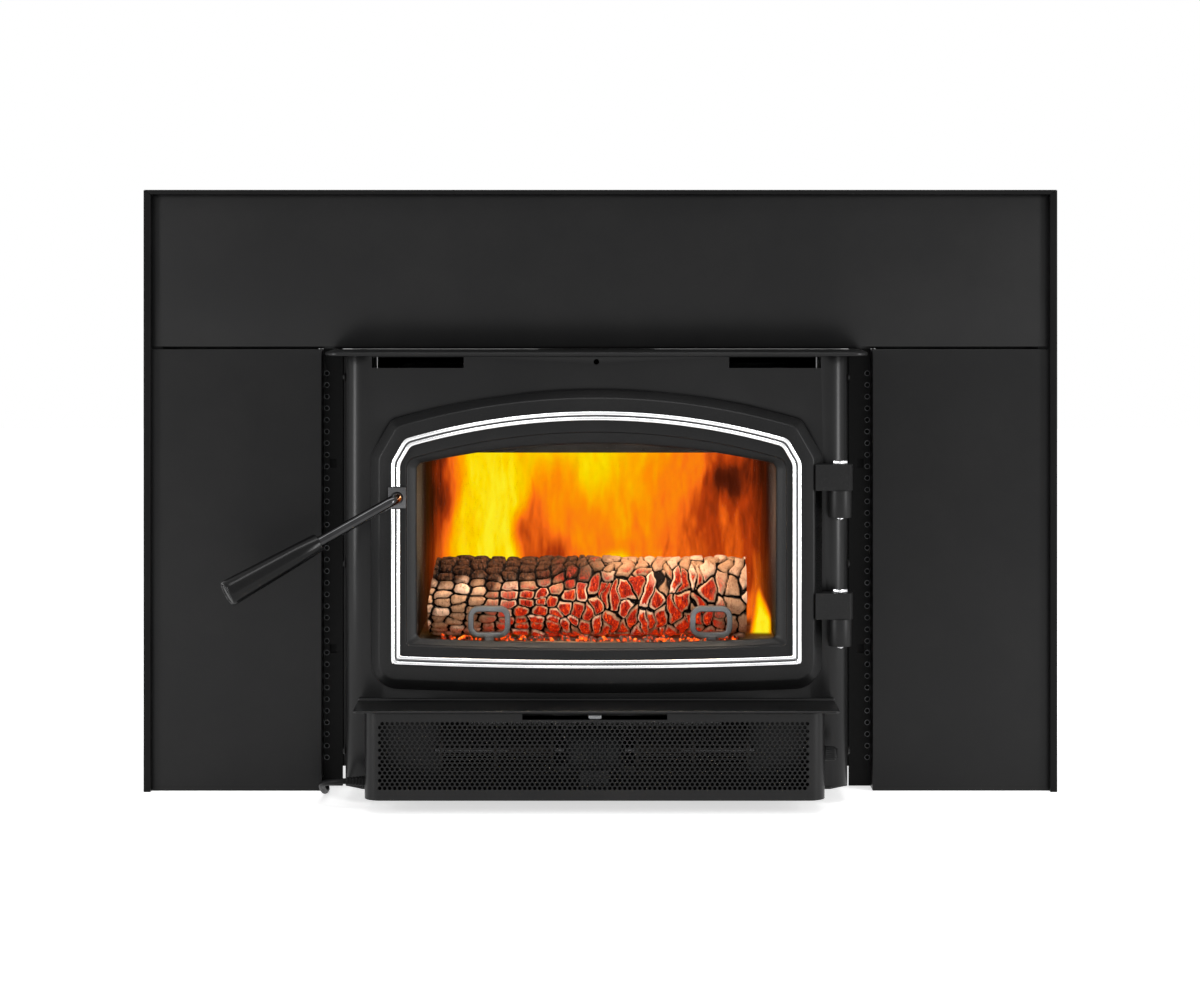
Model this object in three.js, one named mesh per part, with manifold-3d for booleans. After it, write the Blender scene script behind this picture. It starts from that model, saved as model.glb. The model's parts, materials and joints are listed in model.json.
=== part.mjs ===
// A wood-burning fireplace insert: a steel stove body that slides into an open fireplace, with a sheet
// steel surround, a hinged arched door, a brick-lined firebox, an air control and a blower in front.
// Millimetres, +X right, +Y back, +Z up. While it is built, y = 0 is the front face of the surround.
import * as THREE from "three";
import { mergeVertices } from "three/addons/utils/BufferGeometryUtils.js";
import Module from "manifold-3d";

// ---- Driving dimensions -------------------------------------------------------------------------
const seat = 0.3; // gap between two pieces that touch
const running = 0.45; // radial gap between a shaft and its hole
const middleX = -4.8; // middle of the stove body, a little left of the surround's middle

const surround = {
  width: 1117.6,
  height: 736.6,
  sheet: 2,
  panelGap: 3.4, // between the side panels and the top panel
  gapLeft: 34.6, // from the stove body to the edge of the left panel
  gapRight: 35.9,
  returnDepth: 32.7, // depth of the flange folded back beside the opening
  returnFold: 20, // depth of the fold under the top panel
  hem: 15, // how far the hem at the back of that fold reaches below the side panels' top
};
const trim = { sideFace: 8.5, topFace: 5.5, sheet: 1.5, proud: 9, back: 3.8 };
const bracket = {
  sheet: 2,
  depth: 35, // how far the perforated flange lies behind the panels
  reach: 23.2, // how far that flange shows inside the opening
  holeInset: 3.4,
  holeRadius: 2.8,
  holePitch: 14.4,
  holeFirst: 14,
  notchWidth: 8.7,
  notchHeight: 11,
  notchInset: 7.1,
  notchZ: [170, 399],
  cordNotch: 14,
};
const body = {
  halfWidth: 302.5,
  front: -80,
  back: 397,
  bottom: 20.3,
  top: 536.2,
  cornerRadius: 22,
  sheet: 3,
  returnLength: 8, // straight stretch behind each rounded front corner
};
const ledge = { overhang: 22.5, reach: 20, back: 20, thickness: 4.5, cornerRadius: 20 };
const warmAirSlot = { width: 110, height: 13.2, sideInset: 33.5, drop: 1.4 };
const pilotHole = { radius: 3.5, drop: 7.2 };
const sideSlot = { width: 3, height: 48, z: 433, setback: 0.5 };
const sideFlange = { reach: 36, sheet: 2, bottom: 24, topDrop: 3 };
const base = { thickness: 3 };
const foot = { sideInset: 52.5, width: 40, front: -40, back: 360, sheet: 3 };

const firebox = {
  sideGap: 44.5, // air space between the casing and the firebox
  backGap: 64,
  topGap: 24.2,
  wall: 5,
  floor: 150,
};
const brick = { thickness: 32, height: 229, width: 112, groove: 2.2, setback: 18.7, floorSetback: 2 };
const flue = { outerRadius: 76, innerRadius: 71, roofRadius: 70, clearance: 3, y: 190, height: 44 };
const airTube = { radius: 12, wall: 2.5, clear: 6.4, firstY: 60, pitch: 95, count: 3 };
const baffle = { thickness: 20, front: 30 };
const deflector = { sideGap: 14, sheet: 3, topGap: 10, foldGap: 28, reach: 30.7, clear: 1.4 };
const andiron = {
  width: 51,
  height: 38,
  bar: 6.6,
  depth: 12,
  stem: 12,
  stemHeight: 7,
  cornerRadius: 13,
  setback: 34,
  offsets: [-129.7, 138.8],
};
const log = { leftGap: 11.5, rightGap: 32.9, radius: 52, y: 15, narrowing: 0.07, hewn: 0.05 };

const door = {
  sideGap: 33, // from the door's edge to the side of the stove body
  bottom: 138.4,
  bow: 5, // how far the lower edge hangs down in the middle
  apex: 496.3,
  shoulderDrop: 33.9, // from the arch's height at the door's edge down to the end of the straight side
  shoulderAngle: 60, // slope of the short edge between side and arch
  archRadius: 840,
  cornerRadius: 33,
  standoff: 5, // gap for the rope seal behind the door
  rim: 5, // thickness at its edge
  thickness: 20,
  bevelSide: 10.9,
  bevelTop: 9.9,
  bevelBottom: 13.2,
};
const bead = {
  side: 25.3,
  top: 24.8,
  bottom: 31,
  width: 11.3,
  height: 4.2,
  cornerRadius: 6,
  chamfer: 1.6,
  grooveDepth: 2,
  grooveWidth: 1.8,
};
const step = { side: 43.5, top: 50, bottom: 54 };
const opening = { side: 55.5, top: 64.5, bottom: 61, archRadius: 960, lip: 3, cornerRadius: 7 };
const mouthInset = 19.5; // casing opening, measured in from the door's outline
const sealInset = { outer: 5, inner: 16 };
const sealGroove = 3;
const glass = {
  overlap: 7,
  thickness: 4,
  seal: 2,
  sealWidth: 6,
  clamp: 2,
  clampInner: 2,
  clampOuter: 13.5,
};

const hinge = {
  outset: 21, // from the door's edge to the pin
  standoff: 16, // from the stove body to the pin
  barrelRadius: 13.7,
  lugRadius: 15.4,
  lugProud: 2,
  lugReach: 29.7,
  lugHeight: 31,
  barrelHeight: 32,
  footWidth: 9,
  footOffset: 8,
  pinRadius: 4.75,
  headRadius: 10,
  headHeight: 4,
  pinTail: 3,
  lugTops: [254.6, 407.8],
};
const handle = {
  inset: 32.8, // from the door's edge to the rod
  z: 368.6,
  rodRadius: 6.35,
  tail: 1, // how far the rod shows behind the latch finger
  bend: 16, // centre-line radius of the bend
  bendClear: 3, // straight rod in front of the boss
  droop: 28.5, // angle below level, seen from the front
  tilt: 21, // angle towards the room
  reach: 96,
  gripLength: 124,
  gripStart: 11.4,
  gripEnd: 16,
  gripRounding: 3,
  bossHeight: 26,
  bossWidth: 22,
  bossRise: 4,
};
const cam = { setback: 10, thickness: 6, length: 30, width: 13, hubRadius: 11 };
const catchPlate = { clear: 5.4, height: 34, width: 9, depth: 17 };

const lip = { sideInset: 17, reach: 80, clear: 2, thickness: 3, upstand: 3, corner: 4 };
const blower = {
  middleX: -6.8,
  sideInset: 31,
  reach: 70,
  hang: 0.4, // how far the cover hangs below the base plate
  top: 118.5,
  sheet: 2,
  cornerRadius: 20,
  notchWidth: 172.5,
  notchDepth: 7,
  axisStandoff: 33,
  axisZ: 70,
};
const grille = { rows: 4, pitchX: 25.4, pitchZ: 18, holeRadius: 6.2, z: 42 };
const plenum = { halfWidth: 150, bottom: 45, top: 105 };
const motor = { halfLength: 36, radius: 29, footWidth: 36, footHeight: 30 };
const rotor = {
  shaftRadius: 4,
  halfLength: 190,
  wheelStart: 48,
  wheelEnd: 182,
  radius: 30,
  wall: 3,
  disc: 4,
  hubWall: 5,
  hubLength: 53.6,
};
const speedKnob = { standoff: 35, z: 66, radius: 9.2, length: 15, stub: 3, ridge: 1.6, ridgeWidth: 2.4 };

const airSlider = {
  x: -6.3,
  width: 16,
  thickness: 5.9,
  sink: 6.1, // how far its underside lies below the top of the blower cover
  proud: 2,
  tail: 42,
  travel: 75,
  corner: 3,
};
const airValve = { width: 120, depth: 24, thickness: 3 };

const cord = {
  radius: 3.5,
  exitY: -112,
  exitZ: 32.7,
  reliefLength: 24,
  reliefStart: 1, // how much thicker than the cord the relief begins
  reliefRadius: 6.5,
  neck: 4.6,
};
// Points of the cord's middle line; x is measured from the left side of the blower cover.
const cordRoute = [
  [-24.6, -112, 32.7], [-31.7, -111.6, 32.2], [-39.7, -108.6, 31], [-47, -102.7, 29],
  [-52.3, -94.8, 26.4], [-55.1, -86, 23.2], [-55.9, -74, 18.6], [-56.1, -62, 14], [-56.2, -50, 10],
  [-56.2, -38, 6.8], [-56.2, -26, 4.7], [-56.3, -14, 3.8], [-56.7, -3, 3.6], [-59.1, 8, 3.6],
  [-64.7, 17.4, 3.6], [-73.1, 23.6, 3.6], [-83.7, 26, 3.6], [-101.7, 26, 3.6], [-121.7, 26, 3.6],
  [-141.7, 26, 3.6], [-154.7, 26, 3.6],
];
const coil = { ahead: 7, innerRadius: 28.6, pitch: 7.6, turnsIn: 3, turns: 6.25, stepsPerTurn: 24, sides: 6 };
const plug = {
  relief: 27,
  reliefRadius: 4.4,
  body: 34,
  radius: 11,
  blade: 16,
  bladeWidth: 6.4,
  bladeThick: 1.6,
  bladeOffset: 5.5,
  bladeDrop: 1,
  earthRadius: 2.4,
  earthDrop: 4.5,
};

// ---- Places that follow from the sizes above ----------------------------------------------------
const bodyLeft = middleX - body.halfWidth;
const bodyRight = middleX + body.halfWidth;
const ledgeTop = body.top + seat + ledge.thickness;
const sideTop = ledgeTop + seat; // upper edge of the side panels
const topBottom = sideTop + surround.panelGap; // lower edge of the top panel
const openingLeft = bodyLeft - surround.gapLeft;
const openingRight = bodyRight + surround.gapRight;
const baseLow = body.bottom - seat - base.thickness;

const fireboxHalf = body.halfWidth - body.sheet - firebox.sideGap - firebox.wall;
const fireboxBack = body.back - body.sheet - firebox.backGap;
const fireboxTop = body.top - firebox.topGap;

const doorHalf = body.halfWidth - door.sideGap;
const archRise = door.archRadius - Math.sqrt(door.archRadius ** 2 - doorHalf ** 2);
const doorShoulder = door.apex - archRise - door.shoulderDrop;
const doorBack = body.front - door.standoff;
const doorRim = doorBack - door.rim;
const doorFace = doorBack - door.thickness;
const lipY = doorBack - glass.thickness - glass.seal - 2 * seat; // where the glass and its seal bear
const hingeX = middleX + doorHalf + hinge.outset;
const hingeY = body.front - hinge.standoff;
const handleX = middleX - doorHalf + handle.inset;
const camFront = body.front + cam.setback;

const coverFront = body.front - blower.reach;
const coverHalf = body.halfWidth - blower.sideInset;
const coverBottom = baseLow - blower.hang;
const coverLeft = blower.middleX - coverHalf;
const cordLine = cordRoute.map(([x, y, z]) => [coverLeft + x, y, z]);
const axisY = body.front - blower.axisStandoff;
const lipTop = blower.top + lip.clear + lip.thickness;
const sliderZ = blower.top - airSlider.sink;
const sliderBack = body.front + airSlider.tail;

// ---- Geometry helpers ---------------------------------------------------------------------------
const wasm = await Module();
wasm.setup();
const radians = THREE.MathUtils.degToRad;
const point = (x, y, z) => new THREE.Vector3(x, y, z);

function solidOf(geometry) {
  const bare = geometry.clone();
  bare.deleteAttribute("normal");
  bare.deleteAttribute("uv");
  const merged = mergeVertices(bare, 1e-4);
  return new wasm.Manifold(
    new wasm.Mesh({
      numProp: 3,
      vertProperties: new Float32Array(merged.attributes.position.array),
      triVerts: new Uint32Array(merged.index.array),
    }),
  );
}

function geometryOf(solid) {
  const mesh = solid.getMesh();
  const geometry = new THREE.BufferGeometry();
  geometry.setAttribute("position", new THREE.BufferAttribute(new Float32Array(mesh.vertProperties), 3));
  geometry.setIndex(new THREE.BufferAttribute(new Uint32Array(mesh.triVerts), 1));
  geometry.computeVertexNormals();
  return geometry;
}

function join(...pieces) {
  return geometryOf(pieces.map(solidOf).reduce((whole, piece) => whole.add(piece)));
}

function cut(whole, ...tools) {
  return geometryOf(tools.map(solidOf).reduce((left, tool) => left.subtract(tool), solidOf(whole)));
}

function block(x0, x1, y0, y1, z0, z1) {
  const geometry = new THREE.BoxGeometry(x1 - x0, y1 - y0, z1 - z0);
  return geometry.translate((x0 + x1) / 2, (y0 + y1) / 2, (z0 + z1) / 2);
}

// A round bar between two points, with its own radius at each end.
function bar(from, to, radius, endRadius = radius, sides = 20) {
  const along = to.clone().sub(from);
  const geometry = new THREE.CylinderGeometry(endRadius, radius, along.length(), sides);
  const turn = new THREE.Quaternion().setFromUnitVectors(point(0, 1, 0), along.clone().normalize());
  return geometry.applyQuaternion(turn).translate(...from.clone().add(to).multiplyScalar(0.5).toArray());
}

// A coarse round hole: a six-sided bar to cut with.
const hexHole = (from, to, radius) => bar(from, to, radius, radius, 6);

function shapeOf(points) {
  return new THREE.Shape(points.map(([u, v]) => new THREE.Vector2(u, v)));
}

const extruded = (shape, depth) => new THREE.ExtrudeGeometry(shape, { depth, bevelEnabled: false });

// An outline in x and y, raised from z0 to z1.
function raised(points, z0, z1) {
  return extruded(shapeOf(points), z1 - z0).translate(0, 0, z0);
}

// An outline in y and z, drawn out from x0 to x1.
function drawnAcross(points, x0, x1) {
  const turn = new THREE.Matrix4().makeBasis(point(0, 1, 0), point(0, 0, 1), point(1, 0, 0));
  return extruded(shapeOf(points), x1 - x0).applyMatrix4(turn).translate(x0, 0, 0);
}

// A closed solid through outlines in x and z, from the front (lowest y) to the back. Each outline has
// as many points as the next, running anticlockwise as the viewer sees them.
function lofted(layers) {
  const positions = layers.flatMap(({ points, y }) => points.flatMap(([x, z]) => [x, y, z]));
  const count = layers[0].points.length;
  const faces = [];
  for (let layer = 0; layer + 1 < layers.length; layer++)
    for (let i = 0; i < count; i++) {
      const p = layer * count + i;
      const q = layer * count + ((i + 1) % count);
      faces.push(p, p + count, q, q, p + count, q + count);
    }
  const capOf = ({ points }) =>
    THREE.ShapeUtils.triangulateShape(points.map(([x, z]) => new THREE.Vector2(x, z)), []);
  for (const [a, b, c] of capOf(layers[0])) faces.push(a, b, c);
  const last = (layers.length - 1) * count;
  for (const [a, b, c] of capOf(layers[layers.length - 1])) faces.push(last + a, last + c, last + b);
  const geometry = new THREE.BufferGeometry();
  geometry.setAttribute("position", new THREE.Float32BufferAttribute(positions, 3));
  geometry.setIndex(faces);
  return geometry;
}

function arc(centreU, centreV, radius, fromDegrees, toDegrees, steps) {
  return Array.from({ length: steps + 1 }, (_, i) => {
    const angle = radians(fromDegrees + ((toDegrees - fromDegrees) * i) / steps);
    return [centreU + radius * Math.cos(angle), centreV + radius * Math.sin(angle)];
  });
}

// A turned piece whose axis runs along x: the profile lists [distance along x, radius] from its start.
function turnedAlongX(profile, x, y, z, sides = 20) {
  const points = profile.map(([along, radius]) => new THREE.Vector2(radius, along));
  return new THREE.LatheGeometry(points, sides).rotateZ(-Math.PI / 2).translate(x, y, z);
}

// ---- The door's outline -------------------------------------------------------------------------
// The arched outline, drawn in from the door's outer edge by an inset of its own at side, top and bottom.
function doorOutline({
  side,
  top = side,
  bottom = side,
  archRadius = door.archRadius - top,
  bow = door.bow,
  cornerRadius,
}) {
  const half = doorHalf - side;
  const low = door.bottom + bottom;
  const peak = door.apex - top;
  const corner = cornerRadius ?? Math.max(door.cornerRadius - side, 4);
  const slope = radians(door.shoulderAngle);
  const shoulder = doorShoulder - side * Math.tan((Math.PI / 2 - slope) / 2);
  const centre = peak - archRadius;
  // Where the sloping edge from the shoulder meets the arch.
  const along = new THREE.Vector2(-Math.cos(slope), Math.sin(slope));
  const start = new THREE.Vector2(half, shoulder - centre);
  const towards = start.dot(along);
  const reach = -towards + Math.sqrt(towards ** 2 - start.lengthSq() + archRadius ** 2);
  const slopeLength = Math.max(reach > 0 ? reach : 0.5, 0.5);
  const meet = start.clone().addScaledVector(along, slopeLength);
  const meetDegrees = THREE.MathUtils.radToDeg(Math.atan2(meet.y, meet.x));
  const straight = half - corner;
  const bowed = [-0.6, -0.2, 0.2, 0.6].map((u) => [u * straight, low - bow * (1 - u ** 2)]);
  return [
    ...bowed,
    ...arc(half - corner, low + corner, corner, -90, 0, 4),
    [half, shoulder],
    ...arc(0, centre, archRadius, meetDegrees, 180 - meetDegrees, 12),
    [-half, shoulder],
    ...arc(corner - half, low + corner, corner, 180, 270, 4),
  ].map(([x, z]) => [x + middleX, z]);
}

const outlineLayer = (insets, y) => ({ points: doorOutline(insets), y });

// A slab of the door's outline between two depths.
const doorSlab = (insets, front, back) => lofted([outlineLayer(insets, front), outlineLayer(insets, back)]);

// ---- Finishes -----------------------------------------------------------------------------------
const finish = (color, roughness, metalness) =>
  new THREE.MeshStandardMaterial({ color, roughness, metalness });
const blackPaint = finish(0x3a3a3c, 0.6, 0.3);
const castIron = finish(0x3c3d40, 0.65, 0.4);
const nickel = finish(0xe4e4e6, 0.15, 1);
const steel = finish(0x8f9092, 0.35, 0.9);
const rawSteel = finish(0x55504c, 0.6, 0.7);
const ceramicGlass = new THREE.MeshStandardMaterial({
  color: 0xc8ccd0,
  roughness: 0.05,
  transparent: true,
  opacity: 0.35,
});
const rope = finish(0x8a857c, 0.95, 0);
const fireclay = finish(0xb9a07e, 0.9, 0);
const bark = finish(0x6b4a30, 0.95, 0);
const plastic = finish(0x1c1c1e, 0.5, 0);
const cordJacket = finish(0x161617, 0.6, 0);

const insert = new THREE.Group();

function add(name, geometry, material) {
  const mesh = new THREE.Mesh(geometry, material);
  mesh.name = name;
  insert.add(mesh);
}

// ---- Surround -----------------------------------------------------------------------------------
const outerHalf = surround.width / 2;
const panelEdge = outerHalf - trim.sheet - seat; // the panels end just short of the trim's web

function surroundPanels() {
  const sheet = surround.sheet;
  const topEdge = surround.height - trim.sheet - seat;
  const foldEnd = outerHalf - trim.sideFace - seat; // the fold stops short of the trim's back flange
  const topFace = block(-panelEdge, panelEdge, 0, sheet, topBottom, topEdge);
  const topFold = block(
    -foldEnd,
    foldEnd,
    sheet / 2,
    surround.returnFold,
    topBottom,
    topBottom + sheet,
  );
  // A hem hangs from the back of the fold and closes the gap: it rests on the ledge in the middle, stands
  // clear of the brackets beside it, and reaches down behind the side panels.
  const hem = (x0, x1, low) =>
    block(x0, x1, surround.returnFold - sheet, surround.returnFold, low, topBottom + sheet / 2);
  const ledgeHalf = body.halfWidth + ledge.overhang;
  const aside = surround.sheet + seat + bracket.sheet + 1;
  const hems = [
    hem(-foldEnd, foldEnd, sideTop + seat),
    hem(middleX - ledgeHalf, middleX + ledgeHalf, ledgeTop + seat),
    hem(-foldEnd, openingLeft - aside, sideTop - surround.hem),
    hem(openingRight + aside, foldEnd, sideTop - surround.hem),
  ];
  add("surround_top", join(topFace, topFold, ...hems), blackPaint);
  for (const [name, side, edge] of [
    ["surround_left", -1, openingLeft],
    ["surround_right", 1, openingRight],
  ]) {
    // The outline runs along the face and then back along the fold beside the opening.
    const outline = [
      [side * panelEdge, 0],
      [edge, 0],
      [edge, surround.returnDepth],
      [edge + side * sheet, surround.returnDepth],
      [edge + side * sheet, sheet],
      [side * panelEdge, sheet],
    ];
    const panel = raised(side < 0 ? outline : outline.reverse(), 0, sideTop);
    const cordWay = block(edge - 5, edge + 5, sheet + 1, bracket.depth + 5, -1, bracket.cordNotch);
    add(name, side < 0 ? cut(panel, cordWay) : panel, blackPaint);
  }
}

// Folded channel that wraps the edge of the panels. u runs in from the outer edge, v runs back.
const trimProfile = (face) => [
  [0, -trim.proud],
  [face, -trim.proud],
  [face, -seat],
  [face - trim.sheet, -seat],
  [face - trim.sheet, trim.sheet - trim.proud],
  [trim.sheet, trim.sheet - trim.proud],
  [trim.sheet, surround.sheet + seat],
  [face, surround.sheet + seat],
  [face, trim.back],
  [0, trim.back],
];

// One length of trim, extruded along z; a mitred end is drawn back by slope for each mm of u.
function trimBar(face, length, startSlope, endSlope) {
  const geometry = extruded(shapeOf(trimProfile(face)), length);
  const position = geometry.attributes.position;
  for (let i = 0; i < position.count; i++) {
    const u = position.getX(i);
    const atEnd = position.getZ(i) > length / 2;
    position.setZ(i, position.getZ(i) + (atEnd ? -endSlope : startSlope) * u);
  }
  return geometry;
}

function surroundTrim() {
  const mitre = trim.topFace / trim.sideFace;
  const mitreGap = seat;
  const left = trimBar(trim.sideFace, surround.height - mitreGap, 0, mitre);
  add("trim_left", left.translate(-outerHalf, 0, 0), blackPaint);
  const right = trimBar(trim.sideFace, surround.height - mitreGap, 0, mitre);
  const mirror = new THREE.Matrix4().makeScale(-1, 1, 1);
  const turned = right.applyMatrix4(mirror);
  add("trim_right", insideOut(turned).translate(outerHalf, 0, 0), blackPaint);
  const top = trimBar(trim.topFace, surround.width - 2 * mitreGap, 1 / mitre, 1 / mitre);
  // u points down, v points back and the length runs along x.
  const turn = new THREE.Matrix4().makeBasis(point(0, 0, -1), point(0, 1, 0), point(1, 0, 0));
  add("trim_top", top.applyMatrix4(turn).translate(mitreGap - outerHalf, 0, surround.height), blackPaint);
}

// Turns every face of a mirrored geometry round, so that it faces out again.
function insideOut(geometry) {
  const position = geometry.attributes.position;
  for (let i = 0; i < position.count; i += 3) {
    const second = [position.getX(i + 1), position.getY(i + 1), position.getZ(i + 1)];
    position.setXYZ(i + 1, position.getX(i + 2), position.getY(i + 2), position.getZ(i + 2));
    position.setXYZ(i + 2, ...second);
  }
  return geometry;
}

// Angle screwed behind each side panel; its perforated flange shows beside the stove body.
function surroundBrackets() {
  for (const [name, side, edge] of [
    ["bracket_left", -1, openingLeft],
    ["bracket_right", 1, openingRight],
  ]) {
    const web = edge + side * (surround.sheet + seat);
    const outer = web + side * bracket.sheet;
    const inner = edge - side * bracket.reach;
    const flangeFront = bracket.depth - bracket.sheet;
    const outline = [
      [outer, surround.sheet + seat],
      [web, surround.sheet + seat],
      [web, flangeFront],
      [inner, flangeFront],
      [inner, bracket.depth],
      [outer, bracket.depth],
    ];
    const angle = raised(side < 0 ? outline : outline.reverse(), 0, sideTop);
    const tools = [];
    const holeX = edge - side * bracket.holeInset;
    const behind = bracket.depth + 1;
    for (let z = bracket.holeFirst; z < sideTop - bracket.holeFirst / 2; z += bracket.holePitch)
      tools.push(hexHole(point(holeX, flangeFront - 1, z), point(holeX, behind, z), bracket.holeRadius));
    const notchX = edge - side * (bracket.notchInset + bracket.notchWidth / 2);
    for (const z of bracket.notchZ) {
      const halfWidth = bracket.notchWidth / 2;
      const halfHeight = bracket.notchHeight / 2;
      const [low, high] = [z - halfHeight, z + halfHeight];
      tools.push(block(notchX - halfWidth, notchX + halfWidth, flangeFront - 1, behind, low, high));
    }
    if (side < 0)
      tools.push(block(outer - 1, web + 1, surround.sheet + 1, flangeFront, -1, bracket.cordNotch));
    add(name, cut(angle, ...tools), blackPaint);
  }
}

// ---- Casing -------------------------------------------------------------------------------------
const cornerY = body.front + body.cornerRadius;
const wrapBack = cornerY + body.returnLength;

// The bent front sheet seen from above: its outer line, then its inner line back again.
function wrapOutline() {
  const half = body.halfWidth;
  const outerR = body.cornerRadius;
  const innerR = outerR - body.sheet;
  const outer = [
    [-half, wrapBack],
    ...arc(outerR - half, cornerY, outerR, 180, 270, 5),
    ...arc(half - outerR, cornerY, outerR, 270, 360, 5),
    [half, wrapBack],
  ];
  const inner = [
    [half - body.sheet, wrapBack],
    ...arc(half - outerR, cornerY, innerR, 360, 270, 5),
    ...arc(outerR - half, cornerY, innerR, 270, 180, 5),
    [body.sheet - half, wrapBack],
  ];
  return [...outer, ...inner].map(([x, y]) => [x + middleX, y]);
}

function casingFront() {
  const sheet = raised(wrapOutline(), body.bottom, body.top);
  const through = [body.front - 1, body.front + body.sheet + 1];
  const mouth = doorSlab({ side: mouthInset, bow: 0 }, ...through); // its lower edge is straight
  const slotTop = body.top - warmAirSlot.drop;
  const slots = [-1, 1].map((side) => {
    const far = middleX + side * (body.halfWidth - warmAirSlot.sideInset);
    const near = far - side * warmAirSlot.width;
    return block(Math.min(near, far), Math.max(near, far), ...through, slotTop - warmAirSlot.height, slotTop);
  });
  const pilotZ = body.top - pilotHole.drop;
  const pilot = bar(
    point(middleX, through[0], pilotZ),
    point(middleX, through[1], pilotZ),
    pilotHole.radius,
    undefined,
    10,
  );
  const airIn = block(
    middleX - plenum.halfWidth,
    middleX + plenum.halfWidth,
    ...through,
    plenum.bottom,
    plenum.top,
  );
  const sliderHalf = airSlider.width / 2 + airSlider.travel + airSlider.corner;
  const sliderWay = block(
    airSlider.x - sliderHalf,
    airSlider.x + sliderHalf,
    ...through,
    sliderZ - seat,
    sliderZ + airSlider.thickness + seat,
  );
  const sideCut = block(
    bodyRight - body.sheet - sideSlot.width,
    bodyRight + 1,
    cornerY - sideSlot.setback - sideSlot.width,
    cornerY - sideSlot.setback,
    sideSlot.z - sideSlot.height / 2,
    sideSlot.z + sideSlot.height / 2,
  );
  add("casing_front", cut(sheet, mouth, ...slots, pilot, airIn, sliderWay, sideCut), blackPaint);
}

function casingSides() {
  for (const [name, side] of [
    ["casing_left", -1],
    ["casing_right", 1],
  ]) {
    const outer = middleX + side * body.halfWidth;
    const inner = outer - side * body.sheet;
    const low = Math.min(outer, inner);
    const high = Math.max(outer, inner);
    const plate = block(low, high, wrapBack + seat, body.back, body.bottom, body.top);
    // The flange that the surround's bracket is screwed to.
    const flangeY = bracket.depth + seat;
    const tip = outer + side * sideFlange.reach;
    const flange = block(
      Math.min(tip, inner),
      Math.max(tip, inner),
      flangeY,
      flangeY + sideFlange.sheet,
      sideFlange.bottom,
      body.top - sideFlange.topDrop,
    );
    add(name, join(plate, flange), blackPaint);
  }
  const inside = body.halfWidth - body.sheet - seat;
  add(
    "casing_back",
    block(middleX - inside, middleX + inside, body.back - body.sheet, body.back, body.bottom, body.top),
    blackPaint,
  );
}

function casingTop() {
  const low = body.top + seat;
  const radius = ledge.cornerRadius;
  const half = body.halfWidth + ledge.overhang;
  const front = body.front - ledge.reach;
  const outline = [
    ...arc(radius - half, front + radius, radius, 180, 270, 5),
    ...arc(half - radius, front + radius, radius, 270, 360, 5),
    [half, ledge.back],
    [body.halfWidth, ledge.back],
    [body.halfWidth, body.back],
    [-body.halfWidth, body.back],
    [-body.halfWidth, ledge.back],
    [-half, ledge.back],
  ].map(([x, y]) => [x + middleX, y]);
  const collarHole = bar(
    point(middleX, flue.y, low - 1),
    point(middleX, flue.y, low + ledge.thickness + 1),
    flue.outerRadius + flue.clearance,
    undefined,
    32,
  );
  add("casing_top", cut(raised(outline, low, low + ledge.thickness), collarHole), blackPaint);
}

function basePlate() {
  // Its front stretch is the blower's tray, which just fills the cover.
  const trayFront = coverFront + blower.sheet + seat;
  const trayHalf = coverHalf - blower.sheet - seat;
  const trayRadius = blower.cornerRadius - blower.sheet - seat;
  const tray = [
    ...arc(trayRadius - trayHalf, trayFront + trayRadius, trayRadius, 180, 270, 5),
    ...arc(trayHalf - trayRadius, trayFront + trayRadius, trayRadius, 270, 360, 5),
    [trayHalf, body.front],
  ].map(([x, y]) => [x + blower.middleX, y]);
  const rear = [
    [body.halfWidth - body.cornerRadius, body.front],
    [body.halfWidth, cornerY],
    [body.halfWidth, body.back],
    [-body.halfWidth, body.back],
    [-body.halfWidth, cornerY],
    [body.cornerRadius - body.halfWidth, body.front],
  ].map(([x, y]) => [x + middleX, y]);
  const trayCorner = [blower.middleX - trayHalf, body.front];
  const outline = [...tray, ...rear, trayCorner];
  add("base_plate", raised(outline, baseLow, baseLow + base.thickness), blackPaint);
}

// Two inverted channels that carry the stove on the hearth.
function feet() {
  const top = baseLow - seat;
  for (const [name, side] of [
    ["foot_left", -1],
    ["foot_right", 1],
  ]) {
    const centre = middleX + side * (body.halfWidth - foot.sideInset);
    const half = foot.width / 2;
    const channel = block(centre - half, centre + half, foot.front, foot.back, 0, top);
    const hollow = block(
      centre - half + foot.sheet,
      centre + half - foot.sheet,
      foot.front - 1,
      foot.back + 1,
      -1,
      top - foot.sheet,
    );
    add(name, cut(channel, hollow), blackPaint);
  }
}

// ---- Firebox ------------------------------------------------------------------------------------
const fireFront = body.front + body.sheet + seat;
const insideHalf = fireboxHalf - seat;
const fireLeft = middleX - insideHalf;
const fireRight = middleX + insideHalf;
const hearthZ = firebox.floor + firebox.wall + seat; // underside of the floor bricks
const brickTop = hearthZ + brick.thickness;
const wallTop = brickTop + seat + brick.height; // top of the wall bricks
const tubeZ = wallTop + airTube.clear + airTube.radius;
const plateBack = fireboxBack - firebox.wall; // front face of the back plate

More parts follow.
